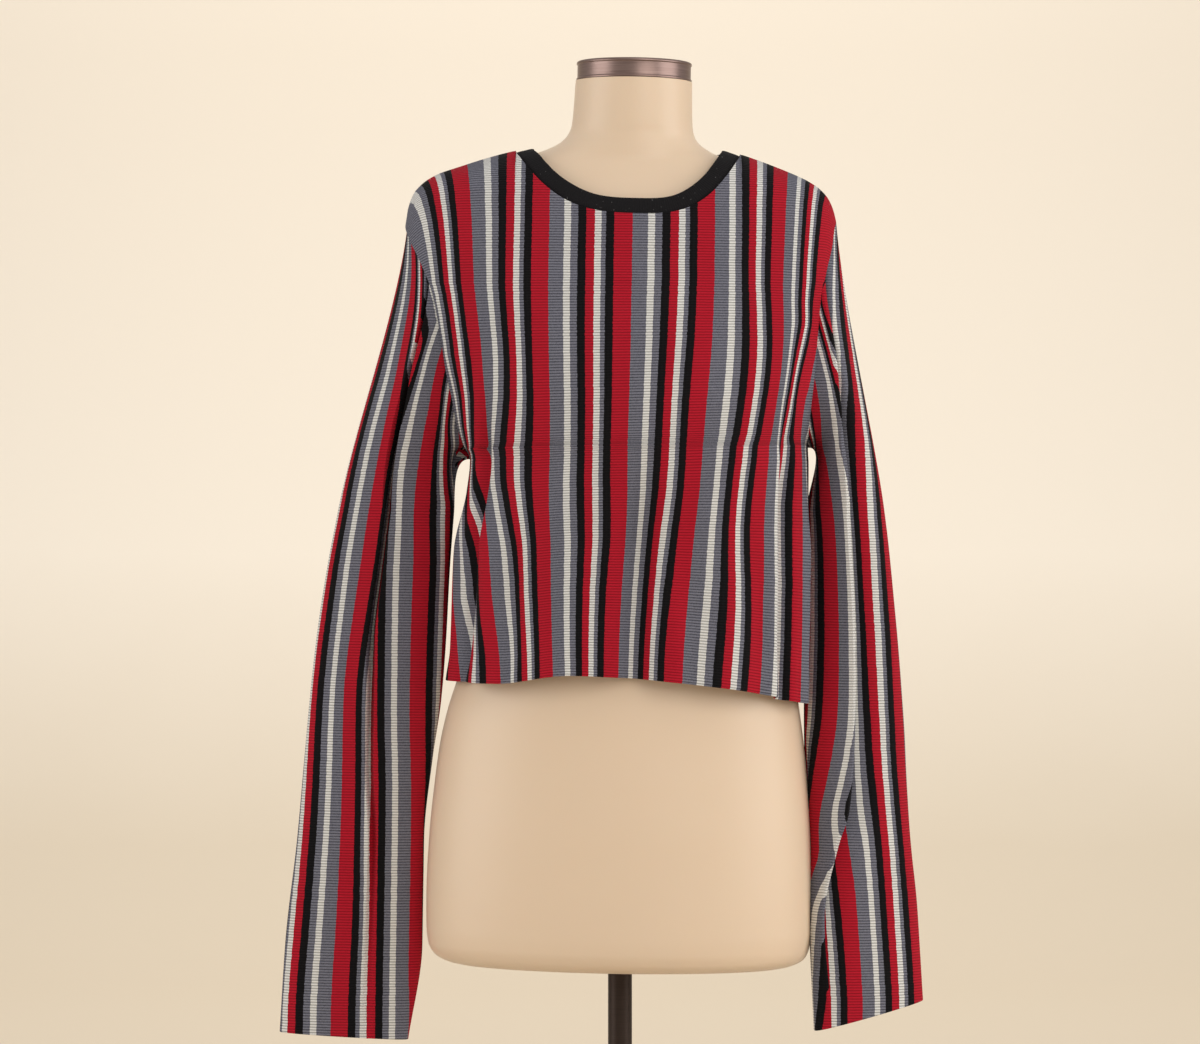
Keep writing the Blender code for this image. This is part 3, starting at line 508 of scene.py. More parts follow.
def unit(vectors: np.ndarray) -> np.ndarray:
    """Return vectors scaled to length 1."""
    return vectors / np.maximum(np.linalg.norm(vectors, axis=-1), 1e-9)[..., None]


def run_of(points: np.ndarray) -> np.ndarray:
    """Return the distance along a line of points, from its first one."""
    steps = np.linalg.norm(np.diff(points, axis=0), axis=1)
    return np.concatenate(([0.0], np.cumsum(steps)))


def read_line(points: np.ndarray, run: np.ndarray, goal: np.ndarray) -> np.ndarray:
    """Return points (or values) of a line at distances along it."""
    return np.stack([np.interp(goal, run, points[:, k]) for k in range(points.shape[1])], axis=1)


def divide(points: np.ndarray, fractions: np.ndarray) -> np.ndarray:
    """Return points at fractions of a line's length."""
    run = run_of(points)
    return read_line(points, run, np.asarray(fractions) * run[-1])


def bell(offset: np.ndarray) -> np.ndarray:
    """Return a smooth bump, 1 at 0 and 0 from 1 on."""
    return np.where(np.abs(offset) < 1.0, 0.5 + 0.5 * np.cos(np.pi * offset), 0.0)


def smoothed(values: np.ndarray, spread: float) -> np.ndarray:
    """Return a table's columns smoothed over its rows, with a bell of this many rows."""
    reach = int(3 * spread)
    weights = np.exp(-0.5 * (np.arange(-reach, reach + 1) / spread) ** 2)
    padded = np.pad(values, ((reach, reach), (0, 0)), mode="reflect", reflect_type="odd")
    return np.stack([np.convolve(padded[:, k], weights / weights.sum(), mode="valid")
                     for k in range(values.shape[1])], axis=1)


def ease(value: np.ndarray) -> np.ndarray:
    """Return a smooth step from 0 to 1."""
    value = np.clip(value, 0.0, 1.0)
    return value * value * (3.0 - 2.0 * value)


def leaned(points: np.ndarray) -> np.ndarray:
    """Lean upright millimetre points with the form and return them in metres."""
    angle = math.radians(LEAN_DEGREES)
    x = points[..., 0] - LEAN_CENTRE_X
    z = points[..., 2] - LEAN_PIVOT_Z
    return np.stack([
        LEAN_CENTRE_X + x * math.cos(angle) + z * math.sin(angle),
        points[..., 1],
        LEAN_PIVOT_Z + z * math.cos(angle) - x * math.sin(angle),
    ], axis=-1) * MM


class Body:
    """The cloth round the body before it is cut into panels."""

    sections = Table(CLOTH_SECTIONS)
    armhole = Table(ARMHOLE_FRONT)
    hem = Table(HEM_LINE, "across")

    @classmethod
    def depth(cls, x: np.ndarray, z: np.ndarray, facing: Facing) -> np.ndarray:
        """Return y of the cloth at x and z."""
        left, right = cls.sections.at("left", z), cls.sections.at("right", z)
        deep = cls.sections.at("front" if facing is Facing.FRONT else "back", z)
        share = np.clip(np.abs(x - 0.5 * (left + right)) / (0.5 * (right - left)), 0.0, 1.0)
        square = cls.sections.at("square", z)
        return RIDGE_Y + facing.value * deep * (1.0 - share ** square) ** (1.0 / square)

    @classmethod
    def edge_x(cls, side: Side, facing: Facing, z: float) -> float:
        """Return x of an armhole's edge at a height."""
        name = side.name.lower()
        x = float(cls.armhole.at(name, z))
        if facing is Facing.BACK:
            share = np.clip((z - ARMPIT_Z[side]) / (TIP_Z[side] - ARMPIT_Z[side]), 0.0, 1.0)
            x += side.value * ARMHOLE_BACK_SHIFT * math.sin(math.pi * share) ** 2
        edge = float(cls.sections.at(name, z))
        return max(x, edge) if side is Side.LEFT else min(x, edge)

    @classmethod
    def shoulder(cls, side: Side) -> np.ndarray:
        """Return the shoulder seam, from the neck point to the tip."""
        name = side.name.lower()
        tip = cls.edge_x(side, Facing.FRONT, TIP_Z[side])
        neck = float(cls.sections.at(name, NECK_POINT_Z))
        heights = np.linspace(TIP_Z[side], NECK_POINT_Z, FINE)
        reach = np.abs(cls.sections.at(name, heights))
        x = np.linspace(neck, tip, FINE)
        z = np.interp(-np.abs(x), -reach, heights)
        z[-1] = TIP_Z[side]
        return np.stack([x, np.full(FINE, RIDGE_Y), z], axis=1)

    @classmethod
    def neckline(cls, facing: Facing, count: int = FINE) -> np.ndarray:
        """Return a panel's neckline from its left to its right neck point."""
        left = float(cls.sections.at("left", NECK_POINT_Z))
        right = float(cls.sections.at("right", NECK_POINT_Z))
        x = 0.5 * (left + right) - 0.5 * (right - left) * np.cos(np.linspace(0, np.pi, count))
        away = x - NECK_LOWEST_X
        share = np.where(away < 0, away / (left - NECK_LOWEST_X), away / (right - NECK_LOWEST_X))
        low = NECK_LOWEST_Z[facing]
        z = low + (NECK_POINT_Z - low) * share ** NECK_CURVE[facing]
        return np.stack([x, cls.depth(x, z, facing), z], axis=1)


class Panel:
    """The front or the back of the sweater."""

    def __init__(self, facing: Facing, folds: Sequence[Fold]) -> None:
        """Args: facing: which panel. folds: its soft folds."""
        self.facing = facing
        self.folds = folds
        self.fractions = np.linspace(0.0, 1.0, PANEL_COLUMNS + 1)

    def _fold(self, line: np.ndarray, guide: np.ndarray) -> np.ndarray:
        """Push a level line of points in and out where the folds are.

        Args:
            line: the points.
            guide: the line that tells how far across the panel each x lies.
        """
        run = run_of(line)
        whole = run_of(guide)
        across = np.interp(line[:, 0], guide[:, 0], whole / whole[-1])
        z = line[:, 2]
        height = np.zeros_like(run)
        for fold in self.folds:
            down = np.clip((fold.top - z) / (fold.top - fold.bottom), 0.0, 1.0)
            middle = fold.across_top + (fold.across_bottom - fold.across_top) * down
            height += fold.height * ease(down * 2.6) * bell(
                (across - middle) * whole[-1] / fold.half_width)
        waver = 0.7 * np.sin(z / 31.0 + across * 9.0) * np.sin(across * 31.0 + z / 83.0)
        height += waver * ease((1400.0 - z) / 120.0)
        height *= ease(np.minimum(run, run[-1] - run) / 12.0)
        along = unit(np.gradient(line[:, :2], axis=0))
        moved = line.copy()
        moved[:, 0] -= along[:, 1] * height * self.facing.value
        moved[:, 1] += along[:, 0] * height * self.facing.value
        return moved

    def _armhole_heights(self, side: Side) -> np.ndarray:
        """Return heights that divide an armhole evenly down to the armpit."""
        z = np.linspace(YOKE_Z[side], ARMPIT_Z[side], FINE)
        x = np.array([Body.edge_x(side, self.facing, height) for height in z])
        line = np.stack([x, Body.depth(x, z, self.facing), z], axis=1)
        return divide(line, np.linspace(0.0, 1.0, ARMHOLE_ROWS + 1))[:, 2]

    def _top(self, yoke: np.ndarray) -> np.ndarray:
        """Return the top edge's points over the yoke row's, so that the stripes run up."""
        line = np.concatenate([Body.shoulder(Side.LEFT)[::-1], Body.neckline(self.facing)[1:-1],
                               Body.shoulder(Side.RIGHT)])
        x = yoke[:, 0].copy()
        for side in Side:
            neck = abs(float(Body.sections.at(side.name.lower(), NECK_POINT_Z)))
            tip = abs(Body.edge_x(side, Facing.FRONT, TIP_Z[side]))
            edge = abs(x[0] if side is Side.LEFT else x[-1])
            out = (x * side.value > neck)
            x[out] = side.value * (neck + (np.abs(x[out]) - neck) * (tip - neck) / (edge - neck))
        order = np.argsort(line[:, 0], kind="stable")
        return np.stack([x, np.interp(x, line[order, 0], line[order, 1]),
                         np.interp(x, line[order, 0], line[order, 2])], axis=1)

    def _yoke(self, row: np.ndarray, top: np.ndarray) -> np.ndarray:
        """Return the rows from the top edge down to the yoke row, over the shoulders."""
        columns = []
        steps = np.linspace(0.0, 1.0, YOKE_ROWS + 1) ** 1.15
        for column, (below, above) in enumerate(zip(row, top)):
            part = np.linspace(0.0, 1.0, FINE)
            level = max(0.0, 1.0 - abs(above[1] - RIDGE_Y) / 30.0)
            x = above[0] + (below[0] - above[0]) * part
            z = above[2] + (below[2] - above[2]) * part ** (1.0 + level)
            if column in (0, len(top) - 1):
                side = Side.LEFT if column == 0 else Side.RIGHT
                x = np.array([Body.edge_x(side, self.facing, height) for height in z])
            line = np.stack([x, Body.depth(x, z, self.facing), z], axis=1)
            line[0], line[-1] = above, below
            columns.append(divide(line, steps))
        return np.stack(columns, axis=1)

    def _places_in_knit(self, bases: Sequence[np.ndarray], folded: Sequence[np.ndarray]
                        ) -> np.ndarray:
        """Return how far across the knit every column of every row lies.

        Args:
            bases: the level lines before their folds.
            folded: the same lines with their folds.
        """
        if self.facing is Facing.BACK:
            # Above the armpits the stripes run straight up and the armholes cut into them.
            rows = []
            for number, base in enumerate(bases):
                run = run_of(folded[number])
                whole = run_of(folded[max(number, ARMHOLE_ROWS)])[-1]
                middle = np.interp(0.0, base[:, 0], run)
                rows.append(BACK_WIDTH * (middle - self.fractions * run[-1]) / whole)
            return np.stack(rows)
        names = ("two_left", "one_left", "middle", "one_right", "two_right", "three_right")
        stripes = (np.arange(len(names)) - 2) * STRIPE_REPEAT
        knots, ends, reach = [], [], []
        for base, line in zip(bases, folded):
            z = float(np.mean(base[:, 2]))
            run = run_of(line)
            middle = np.interp(0.0, base[:, 0], run)
            at = [np.interp(np.interp(z, *column_knots(name)), base[:, 0], run) for name in names]
            # Above the armpits the edges are as measured, below them the knit runs on.
            high = float(ease((z - 1120.0) / 90.0))
            left = float(np.interp(z, *column_knots("at_left")))
            right = float(np.interp(z, *column_knots("at_right")))
            ends.append((left * high + (stripes[0] - at[0]) * (1.0 - high),
                         right * high + (stripes[-1] + run[-1] - at[-1]) * (1.0 - high)))
            knots.append(np.array(at) - middle)
            reach.append((middle, run[-1]))
        rows = []
        for at, (left, right), (middle, length) in zip(smoothed(np.array(knots), 6.0), ends, reach):
            at = (at + middle) / length
            for number in range(len(at)):
                low = at[number - 1] + 0.02 if number else 0.02
                at[number] = min(max(at[number], low), 0.985 - 0.02 * (len(at) - 1 - number))
            rows.append(smooth_interp(np.concatenate([[0.0], at, [1.0]]),
                                      np.concatenate([[left], stripes, [right]]), self.fractions))
        return np.stack(rows)

    def grid(self) -> Grid:
        """Return the panel's outer face from the top edge to the hem."""
        angle = np.linspace(0.0, np.pi, 2 * FINE)
        share = 0.5 - 0.5 * np.cos(angle)
        rows = []
        for left_z, right_z in zip(self._armhole_heights(Side.LEFT),
                                   self._armhole_heights(Side.RIGHT)):
            left = Body.edge_x(Side.LEFT, self.facing, left_z)
            right = Body.edge_x(Side.RIGHT, self.facing, right_z)
            x = left + (right - left) * share
            z = left_z + (right_z - left_z) * share
            rows.append(np.stack([x, Body.depth(x, z, self.facing), z], axis=1))
        top = ARMPIT_Z[Side.LEFT] + (ARMPIT_Z[Side.RIGHT] - ARMPIT_Z[Side.LEFT]) * share
        hem = Body.hem.at("front" if self.facing is Facing.FRONT else "back", share)
        for row in range(1, SIDE_ROWS + 1):
            z = top + (hem - top) * row / SIDE_ROWS
            left, right = Body.sections.at("left", z), Body.sections.at("right", z)
            x = 0.5 * (left + right) - 0.5 * (right - left) * np.cos(angle)
            rows.append(np.stack([x, Body.depth(x, z, self.facing), z], axis=1))
        armpit = rows[ARMHOLE_ROWS]
        folded = [self._fold(row, armpit if number < ARMHOLE_ROWS else row)
                  for number, row in enumerate(rows)]
        across = self._places_in_knit(rows, folded)
        rows = [divide(line, self.fractions) for line in folded]
        yoke = self._yoke(rows[0], self._top(rows[0]))[:-1]
        points = np.concatenate([yoke, np.stack(rows)])
        across = np.concatenate([np.repeat(across[:1], YOKE_ROWS, axis=0), across])
        step = np.linalg.norm(np.diff(points, axis=0), axis=2)
        step[YOKE_ROWS:] = np.mean(step[YOKE_ROWS:], axis=1, keepdims=True)
        down = np.concatenate([np.zeros((1, step.shape[1])), np.cumsum(step, axis=0)])
        down -= down[YOKE_ROWS]
        return Grid(points, np.stack([across, down], axis=2), False)


def column_knots(name: str) -> tuple:
    """Return rising heights and a column of the stripe table."""
    return ([row.z for row in STRIPE_ROWS[::-1]], [getattr(row, name) for row in STRIPE_ROWS[::-1]])


class Sleeve:
    """A sleeve: a tube from the armhole to the cuff with one long fold down its front."""

    def __init__(self, side: Side, rows: Sequence[SleeveRow], marks: Sequence[MarkRow]
                 ) -> None:
        """Args: side: which sleeve. rows: its level sections. marks: where stripes show."""
        self.side = side
        self.table = Table(rows)
        self.marks = Table(marks)
        self.top, self.bottom = rows[0].z, rows[-1].z
        # A pleat laps over itself; a crease is only a groove.
        self.lapped = side is Side.RIGHT
        self.columns = (34, 34, 34) if self.lapped else (36, 24, 36)

    def oval(self, z: float) -> np.ndarray:
        """Return a dense closed ring from the outer edge round the front."""
        outer, inner = float(self.table.at("outer", z)), float(self.table.at("inner", z))
        half, middle = 0.5 * (outer - inner), 0.5 * (outer + inner)
        turn = math.radians(float(self.table.at("turn", z)))
        deep = 0.5 * float(self.table.at("thick", z))
        reach = half / math.hypot(math.cos(turn), math.sin(turn) * deep / half)
        angle = np.linspace(0.0, 2.0 * np.pi, 6 * FINE + 1)
        along = reach * np.cos(angle)
        depth = -deep * np.sign(np.sin(angle)) * np.abs(np.sin(angle)) ** 0.9
        x = along * math.cos(turn) - depth * math.sin(turn)
        y = along * math.sin(turn) + depth * math.cos(turn)
        drop = float(self.table.at("droop", z)) * (0.5 - 0.5 * x / half)
        middle_y = float(self.table.at("y", z))
        return np.stack([self.side.value * (middle + x), middle_y + y, z - drop], axis=1)

    def _halves(self, ring: np.ndarray) -> tuple:
        """Return the front and the back half of a dense ring."""
        half = len(ring) // 2
        return ring[:half + 1], ring[half:]

    def _path(self, length: float, at: float, hidden: float) -> tuple:
        """Return where the columns of the front half lie.

        Args:
            length: length of the front half with the fold closed.
            at: where the fold lies on it.
            hidden: how much knit the fold takes in.

        Returns:
            Distances along the half, heights over it, and where the fold starts and ends.
        """
        before, inside, after = self.columns
        lead = np.linspace(0.0, 1.0, before + 1)[:-1]
        rest = np.linspace(0.0, 1.0, after + 1)[1:]
        q = np.linspace(0.0, 1.0, inside + 1)
        strength = min(1.0, hidden / 18.0)
        if self.lapped:
            layer = 2.6 * strength
            reach = 0.5 * hidden
            lap = np.interp(q, (0.0, 0.5, 1.0), (0.0, 1.0, 0.0))
            place = at + reach * lap
            rise = -2.0 * layer + layer * ease((q - 0.44) / 0.12) + layer * ease((q - 0.9) / 0.1)
            sink = -2.0 * layer * ease((lead * at - at + 26.0) / 26.0)
            first, last = at, at
            lift = 1.4 * strength * np.exp(-rest * (length - at) / 9.0)
        else:
            half = 4.2
            leg = 0.5 * hidden + half
            deep = math.sqrt(max(leg * leg - half * half, 0.0))
            place = at - half + 2.0 * half * q
            rise = -deep * np.sin(np.pi * q) ** 1.3
            first, last = at - half, at + half
            sink = 1.2 * strength * bell((lead * first - first) / 16.0)
            lift = 1.2 * strength * bell(rest * (length - last) / 16.0)
            rise += 1.2 * strength * (1.0 - np.sin(np.pi * q) ** 0.5)
        return (
            np.concatenate([lead * first, place, last + rest * (length - last)]),
            np.concatenate([sink, rise, lift]),
            (first, last),
        )

    def _crossings(self, half: np.ndarray, run: np.ndarray) -> np.ndarray:
        """Return how far along a row's front half the marked stripes show."""
        found = []
        for name in ("first", "second", "third", "fourth"):
            beyond = np.abs(half[:, 0]) - self.marks.at(name, half[:, 2])
            inside = np.nonzero(beyond <= 0.0)[0]
            if len(inside) == 0:
                found.append(run[-1] + beyond[-1])
                continue
            here = max(int(inside[0]), 1)
            step = beyond[here - 1] - beyond[here]
            share = beyond[here - 1] / step if beyond[here - 1] > 0.0 else 0.0
            found.append(run[here - 1] + share * (run[here] - run[here - 1]))
        for number in range(1, 4):
            found[number] = max(found[number], found[number - 1] + 2.0)
        return np.array(found)

    def _knit_places(self, run: tuple, fold: tuple, hidden: float, marks: np.ndarray,
                     edge: float, level: float) -> np.ndarray:
        """Return the places across the knit of the columns of a row's front half.

        Args:
            run: the columns' distances along the half.
            fold: where the fold starts and ends.
            hidden: how much knit the fold takes in, where the marks don't tell.
            marks: how far along the marked stripes show.
            edge: the outer edge's place in the knit.
            level: how far the marks after the fold are followed, 0 to 1.
        """
        before, inside, _ = self.columns
        places = MARK_PLACES[self.side]
        pace = (places[0] - places[1]) / (marks[1] - marks[0])

        def lead(at: np.ndarray) -> np.ndarray:
            """Return the places before the fold."""
            value = np.interp(at, (0.0, marks[0], marks[1]), (edge, places[0], places[1]))
            return np.where(at > marks[1], places[1] - (at - marks[1]) * min(pace, 1.3), value)

        def rest(at: np.ndarray) -> np.ndarray:
            """Return the places after it."""
            shown = np.interp(at, marks[2:], places[2:])
            shown = np.where(at > marks[3], places[3] - (at - marks[3]), shown)
            shown = np.where(at < marks[2], places[2] + 1.1 * (marks[2] - at), shown)
            plain = lead(np.array(fold[0])) - hidden - (at - fold[1])
            return shown * level + plain * (1.0 - level)

        start, end = float(lead(np.array(fold[0]))), float(rest(np.array(fold[1])))
        end = min(end, start - 1.0)
        q = np.linspace(0.0, 1.0, inside + 1)
        after = rest(run[before + inside + 1:])
        return np.concatenate([lead(run[:before]), start + (end - start) * q,
                               np.minimum(after, end - 0.2)])

    def _folded_row(self, front: np.ndarray, back: np.ndarray, normals: tuple,
                    at: float, hidden: float) -> tuple:
        """Return a row's points, and its front columns' runs and fold."""
        run = run_of(front)
        place, rise, fold = self._path(run[-1], at * run[-1], hidden)
        out = unit(read_line(normals[0], run, place))
        points = read_line(front, run, place) + out * rise[:, None]
        back_run = run_of(back)
        steps = np.linspace(0.0, 1.0, BACK_COLUMNS + 1)[1:-1]
        behind = read_line(back, back_run, steps * back_run[-1])
        out = unit(read_line(normals[1], back_run, steps * back_run[-1]))
        soft = min(hidden, 24.0) * 0.30
        behind += out * (-soft * bell((steps - 0.46) / 0.14) + 1.5 * bell((steps - 0.7) / 0.2)
                         )[:, None]
        return np.concatenate([points, behind]), place, fold

    def _normals(self, grid: np.ndarray) -> np.ndarray:
        """Return a dense base grid's outward normals."""
        ring = np.concatenate([grid[:, -2:-1], grid, grid[:, 1:2]], axis=1)
        across = np.gradient(ring, axis=1)[:, 1:-1]
        down = np.gradient(grid, axis=0)
        return unit(np.cross(across, down) * self.side.value)

    def _cap(self, loop: np.ndarray, ring: np.ndarray, lower: np.ndarray) -> list:
        """Return dense rows from the armhole's loop to the first level ring."""
        turn = np.linspace(0.0, 2.0 * np.pi, len(loop))
        top = 0.5 + 0.5 * np.cos(turn)
        facing = -np.sin(turn)
        leave = unit(np.stack([
            self.side.value * (0.10 + 0.95 * (1.0 - top)),
            0.25 * facing,
            -0.98 * top + 0.25 * (1.0 - top) ** 3 - 0.45 * np.abs(facing),
        ], axis=1))
        arrive = unit(lower - ring)
        span = np.linalg.norm(ring - loop, axis=1)[:, None]
        start = span * (0.9 + 0.25 * (1.0 - top))[:, None]
        rows = []
        for part in np.linspace(0.0, 1.0, CAP_ROWS + 1)[:-1]:
            rows.append(
                loop * (1.0 + 2.0 * part) * (1.0 - part) ** 2
                + leave * start * part * (1.0 - part) ** 2
                + ring * (3.0 - 2.0 * part) * part ** 2
                + arrive * span * 0.9 * (part - 1.0) * part ** 2
            )
        return rows

    def grid(self, loop: np.ndarray) -> Grid:
        """Return the sleeve's outer face from the armhole to the cuff.

        Args:
            loop: the armhole from its tip down the front, round the armpit and back up.
        """
        half = 3 * FINE
        front, back = self._armhole_halves(loop)
        spread = np.array((0.0, 0.39, 0.59, 0.70, 0.80, 1.0))
        taken = np.array((0.0, 0.29, 0.44, 0.60, 0.755, 1.0))
        even = np.linspace(0.0, 1.0, half + 1)
        share = smooth_interp(spread, taken, even)
        edge = np.concatenate([divide(front, share), divide(back, 1.0 - share[::-1])[1:]])
        heights = np.linspace(self.top, self.bottom, SLEEVE_ROWS + 1)
        rings = []
        for z in heights:
            first, second = self._halves(self.oval(z))
            rings.append(np.concatenate([divide(first, even), divide(second, even)[1:]]))
        rows = np.stack(self._cap(edge, rings[0], rings[1]) + rings)
        normals = self._normals(rows)
        marks = smoothed(np.stack([self._crossings(row[:half + 1], run_of(row[:half + 1]))
                                   for row in rows]), 2.5)
        edge_low = MARK_PLACES[self.side][0] + marks[CAP_ROWS, 0]
        points, knit, seam = [], [], []
        for number, row in enumerate(rows):
            part = min(number / CAP_ROWS, 1.0)
            z = self.top if number < CAP_ROWS else heights[number - CAP_ROWS]
            length = run_of(row[:half + 1])[-1]
            at, hidden = self._fold_at(row, z), float(self.table.at("hidden", z))
            edge, scale = MARK_PLACES[self.side][0] + marks[number, 0], 1.0
            if number < CAP_ROWS:
                between = 0.5 * (marks[number, 1] + marks[number, 2]) / length
                at = between * (1.0 - part ** 3) + at * part ** 3
                hidden = HIDDEN_AT_ARMHOLE[self.side] * (1.0 - part) + hidden * part
                edge = EDGE_AT_ARMHOLE * (1.0 - part) + edge_low * part
                scale = KNIT_AT_ARMHOLE / length * (1.0 - part) + part
            line, run, fold = self._folded_row(
                row[:half + 1], row[half:],
                (normals[number][:half + 1], normals[number][half:]), at, hidden)
            follow = 1.0 if self.side is Side.LEFT else float(ease((z - 770.0) / 60.0))
            across = self._knit_places(run, fold, hidden, marks[number], edge, follow)
            steps = 1.0 - np.linspace(0.0, 1.0, BACK_COLUMNS + 1)[:-1]
            behind = edge + steps * run_of(row[half:])[-1] * scale
            down = ARMPIT_Z[self.side] - line[:, 2]
            points.append(line)
            knit.append(np.stack([np.concatenate([across, behind[1:]]), down], axis=1))
            seam.append((behind[0], down[len(run) - 1]))
        return Grid(np.stack(points), np.stack(knit), True, len(run) - 1, np.array(seam))

    def _fold_at(self, row: np.ndarray, z: float) -> float:
        """Return the fraction of a row's front half where the fold lies."""
        half = row[:len(row) // 2 + 1]
        run = run_of(half)
        goal = float(self.table.at("fold_x", z))
        reach = np.abs(half[:, 0])
        order = np.argsort(reach, kind="stable")
        return float(np.interp(goal, reach[order], run[order]) / run[-1])

    def _armhole_halves(self, loop: np.ndarray) -> tuple:
        """Split an armhole loop at its armpit into the front and the back half."""
        lowest = int(np.argmin(loop[:, 2]))
        return loop[:lowest + 1], np.concatenate([loop[lowest:], loop[:1]])


def armhole_loop(front: Grid, back: Grid, column: int) -> np.ndarray:
    """Return an armhole's edge on both panels: tip, front, armpit, back."""
    last = YOKE_ROWS + ARMHOLE_ROWS
    down = front.points[:last + 1, column]
    up = back.points[:last + 1, column][::-1]
    return np.concatenate([down[:-1], up[:-1]])


def grid_normals(grid: Grid, like: np.ndarray) -> np.ndarray:
    """Return a grid's normals, on the side that like points to on average."""
    points = grid.points
    if grid.closed:
        ring = np.concatenate([points[:, -1:], points, points[:, :1]], axis=1)
        across = np.gradient(ring, axis=1)[:, 1:-1]
    else:
        across = np.gradient(points, axis=1)
    normal = unit(np.cross(across, np.gradient(points, axis=0)))
    middle = points.shape[0] * 3 // 4
    if np.sum(normal[middle, 2] * like) < 0.0:
        normal = -normal
    return normal


class MeshMaker:
    """Turns grids into closed thin walls with their place in the knit as a UV map."""

    def __init__(self, collection: bpy.types.Collection) -> None:
        """Args: collection: where the pieces go."""
        self.collection = collection

    def add(self, name: str, points: np.ndarray, faces: np.ndarray,
            uv: Optional[np.ndarray] = None, sharp: float = 50.0) -> bpy.types.Object:
        """Make an object.

        Args:
            name: the piece's name.
            points: its points, in metres.
            faces: its faces, four corners each.
            uv: one pair for each face's corner, or None.
            sharp: edges over this angle in degrees stay sharp.

        Returns:
            The new object.
        """
        mesh = bpy.data.meshes.new(name)
        mesh.vertices.add(len(points))
        mesh.vertices.foreach_set("co", np.ascontiguousarray(points, dtype=np.float32).ravel())
        corners = faces.shape[1]
        mesh.loops.add(faces.size)
        mesh.loops.foreach_set("vertex_index", faces.astype(np.int32).ravel())
        mesh.polygons.add(len(faces))
        mesh.polygons.foreach_set("loop_start", np.arange(0, faces.size, corners, dtype=np.int32))
        mesh.update(calc_edges=True)
        mesh.validate()
        if uv is not None:
            layer = mesh.uv_layers.new(name="knit")
            layer.data.foreach_set("uv", uv.astype(np.float32).ravel())
        work = bmesh.new()
        work.from_mesh(mesh)
        bmesh.ops.recalc_face_normals(work, faces=work.faces)
        work.to_mesh(mesh)
        work.free()
        mesh.shade_smooth()
        mesh.set_sharp_from_angle(angle=math.radians(sharp))
        item = bpy.data.objects.new(name, mesh)
        self.collection.objects.link(item)
        return item

    def wall(self, name: str, grid: Grid, like: np.ndarray, wall: float) -> bpy.types.Object:
        """Make a wall behind a grid and close its edges with a rounded lip."""
        normal = grid_normals(grid, like)
        lip = 0.28 * wall
        down = unit(np.gradient(grid.points, axis=0))
        outer = grid.points.copy()
        outer[0] += down[0] * 0.2
        outer[-1] -= down[-1] * 0.1
        middle_top = outer[0] - normal[0] * 0.5 * wall - down[0] * lip * 0.2
        middle_low = outer[-1] - normal[-1] * 0.5 * wall + down[-1] * lip
        inner = outer - normal * wall
        layers = np.concatenate([outer, middle_low[None], inner[::-1], middle_top[None]])
        knit = np.concatenate([grid.knit, grid.knit[-1:], grid.knit[::-1], grid.knit[:1]])
        rows, columns = layers.shape[:2]
        index = np.arange(rows * columns).reshape(rows, columns)
        index = np.concatenate([index, index[:1]])
        if grid.closed:
            index = np.concatenate([index, index[:, :1]], axis=1)
        faces = np.stack([index[:-1, :-1], index[:-1, 1:], index[1:, 1:], index[1:, :-1]],
                         axis=2).reshape(-1, 4)
        if not grid.closed:
            half = len(grid.points)
            for column in (0, columns - 1):
                side = []
                for row in range(half - 1):
                    near, far = row * columns + column, (row + 1) * columns + column
                    back = (2 * half - row) * columns + column
                    side.append((near, far, back - columns, back))
                faces = np.concatenate([faces, np.array(side)])
        uv = knit.reshape(-1, 2)[faces]
        if grid.seam >= 0:
            after = np.concatenate([grid.seam_knit, grid.seam_knit[-1:], grid.seam_knit[::-1],
                                    grid.seam_knit[:1], grid.seam_knit[:1]])
            corners = uv.reshape(rows, columns, 4, 2)
            corners[:, grid.seam, 0] = after[:-1]
            corners[:, grid.seam, 3] = after[1:]
        uv = uv / np.array([STRIPE_REPEAT, COURSE_PITCH])
        return self.add(name, leaned(layers).reshape(-1, 3), faces, uv)


def srgb(text: str) -> tuple:
    """Return a linear colour from an sRGB hex string."""
    channels = [int(text[k:k + 2], 16) / 255.0 for k in (1, 3, 5)]
    linear = [c / 12.92 if c <= 0.04045 else ((c + 0.055) / 1.055) ** 2.4 for c in channels]
    return (*linear, 1.0)


def add_node(tree: bpy.types.NodeTree, kind: str, inputs: Optional[dict] = None,
             **settings) -> bpy.types.Node:
    """Add a node.

    Args:
        tree: the node tree.
        kind: the node's type name.
        inputs: socket name or number to a constant, or to the output that feeds it.
        settings: properties of the node.

    Returns:
        The new node.
    """
    node = tree.nodes.new(kind)
    for name, value in settings.items():
        setattr(node, name, value)
    for name, value in (inputs or {}).items():
        socket = node.inputs[name]
        if isinstance(value, bpy.types.NodeSocket):
            tree.links.new(value, socket)
        else:
            socket.default_value = value
    return node


def math_node(tree: bpy.types.NodeTree, operation: str, first, second=0.0, third=0.0,
              clamp: bool = False) -> bpy.types.NodeSocket:
    """Add a Math node and return its output."""
    node = add_node(tree, "ShaderNodeMath", {0: first, 1: second}, operation=operation,
                    use_clamp=clamp)
    if operation in ("MULTIPLY_ADD", "WRAP", "PINGPONG", "COMPARE"):
        if isinstance(third, bpy.types.NodeSocket):
            tree.links.new(third, node.inputs[2])
        else:
            node.inputs[2].default_value = third
    return node.outputs[0]


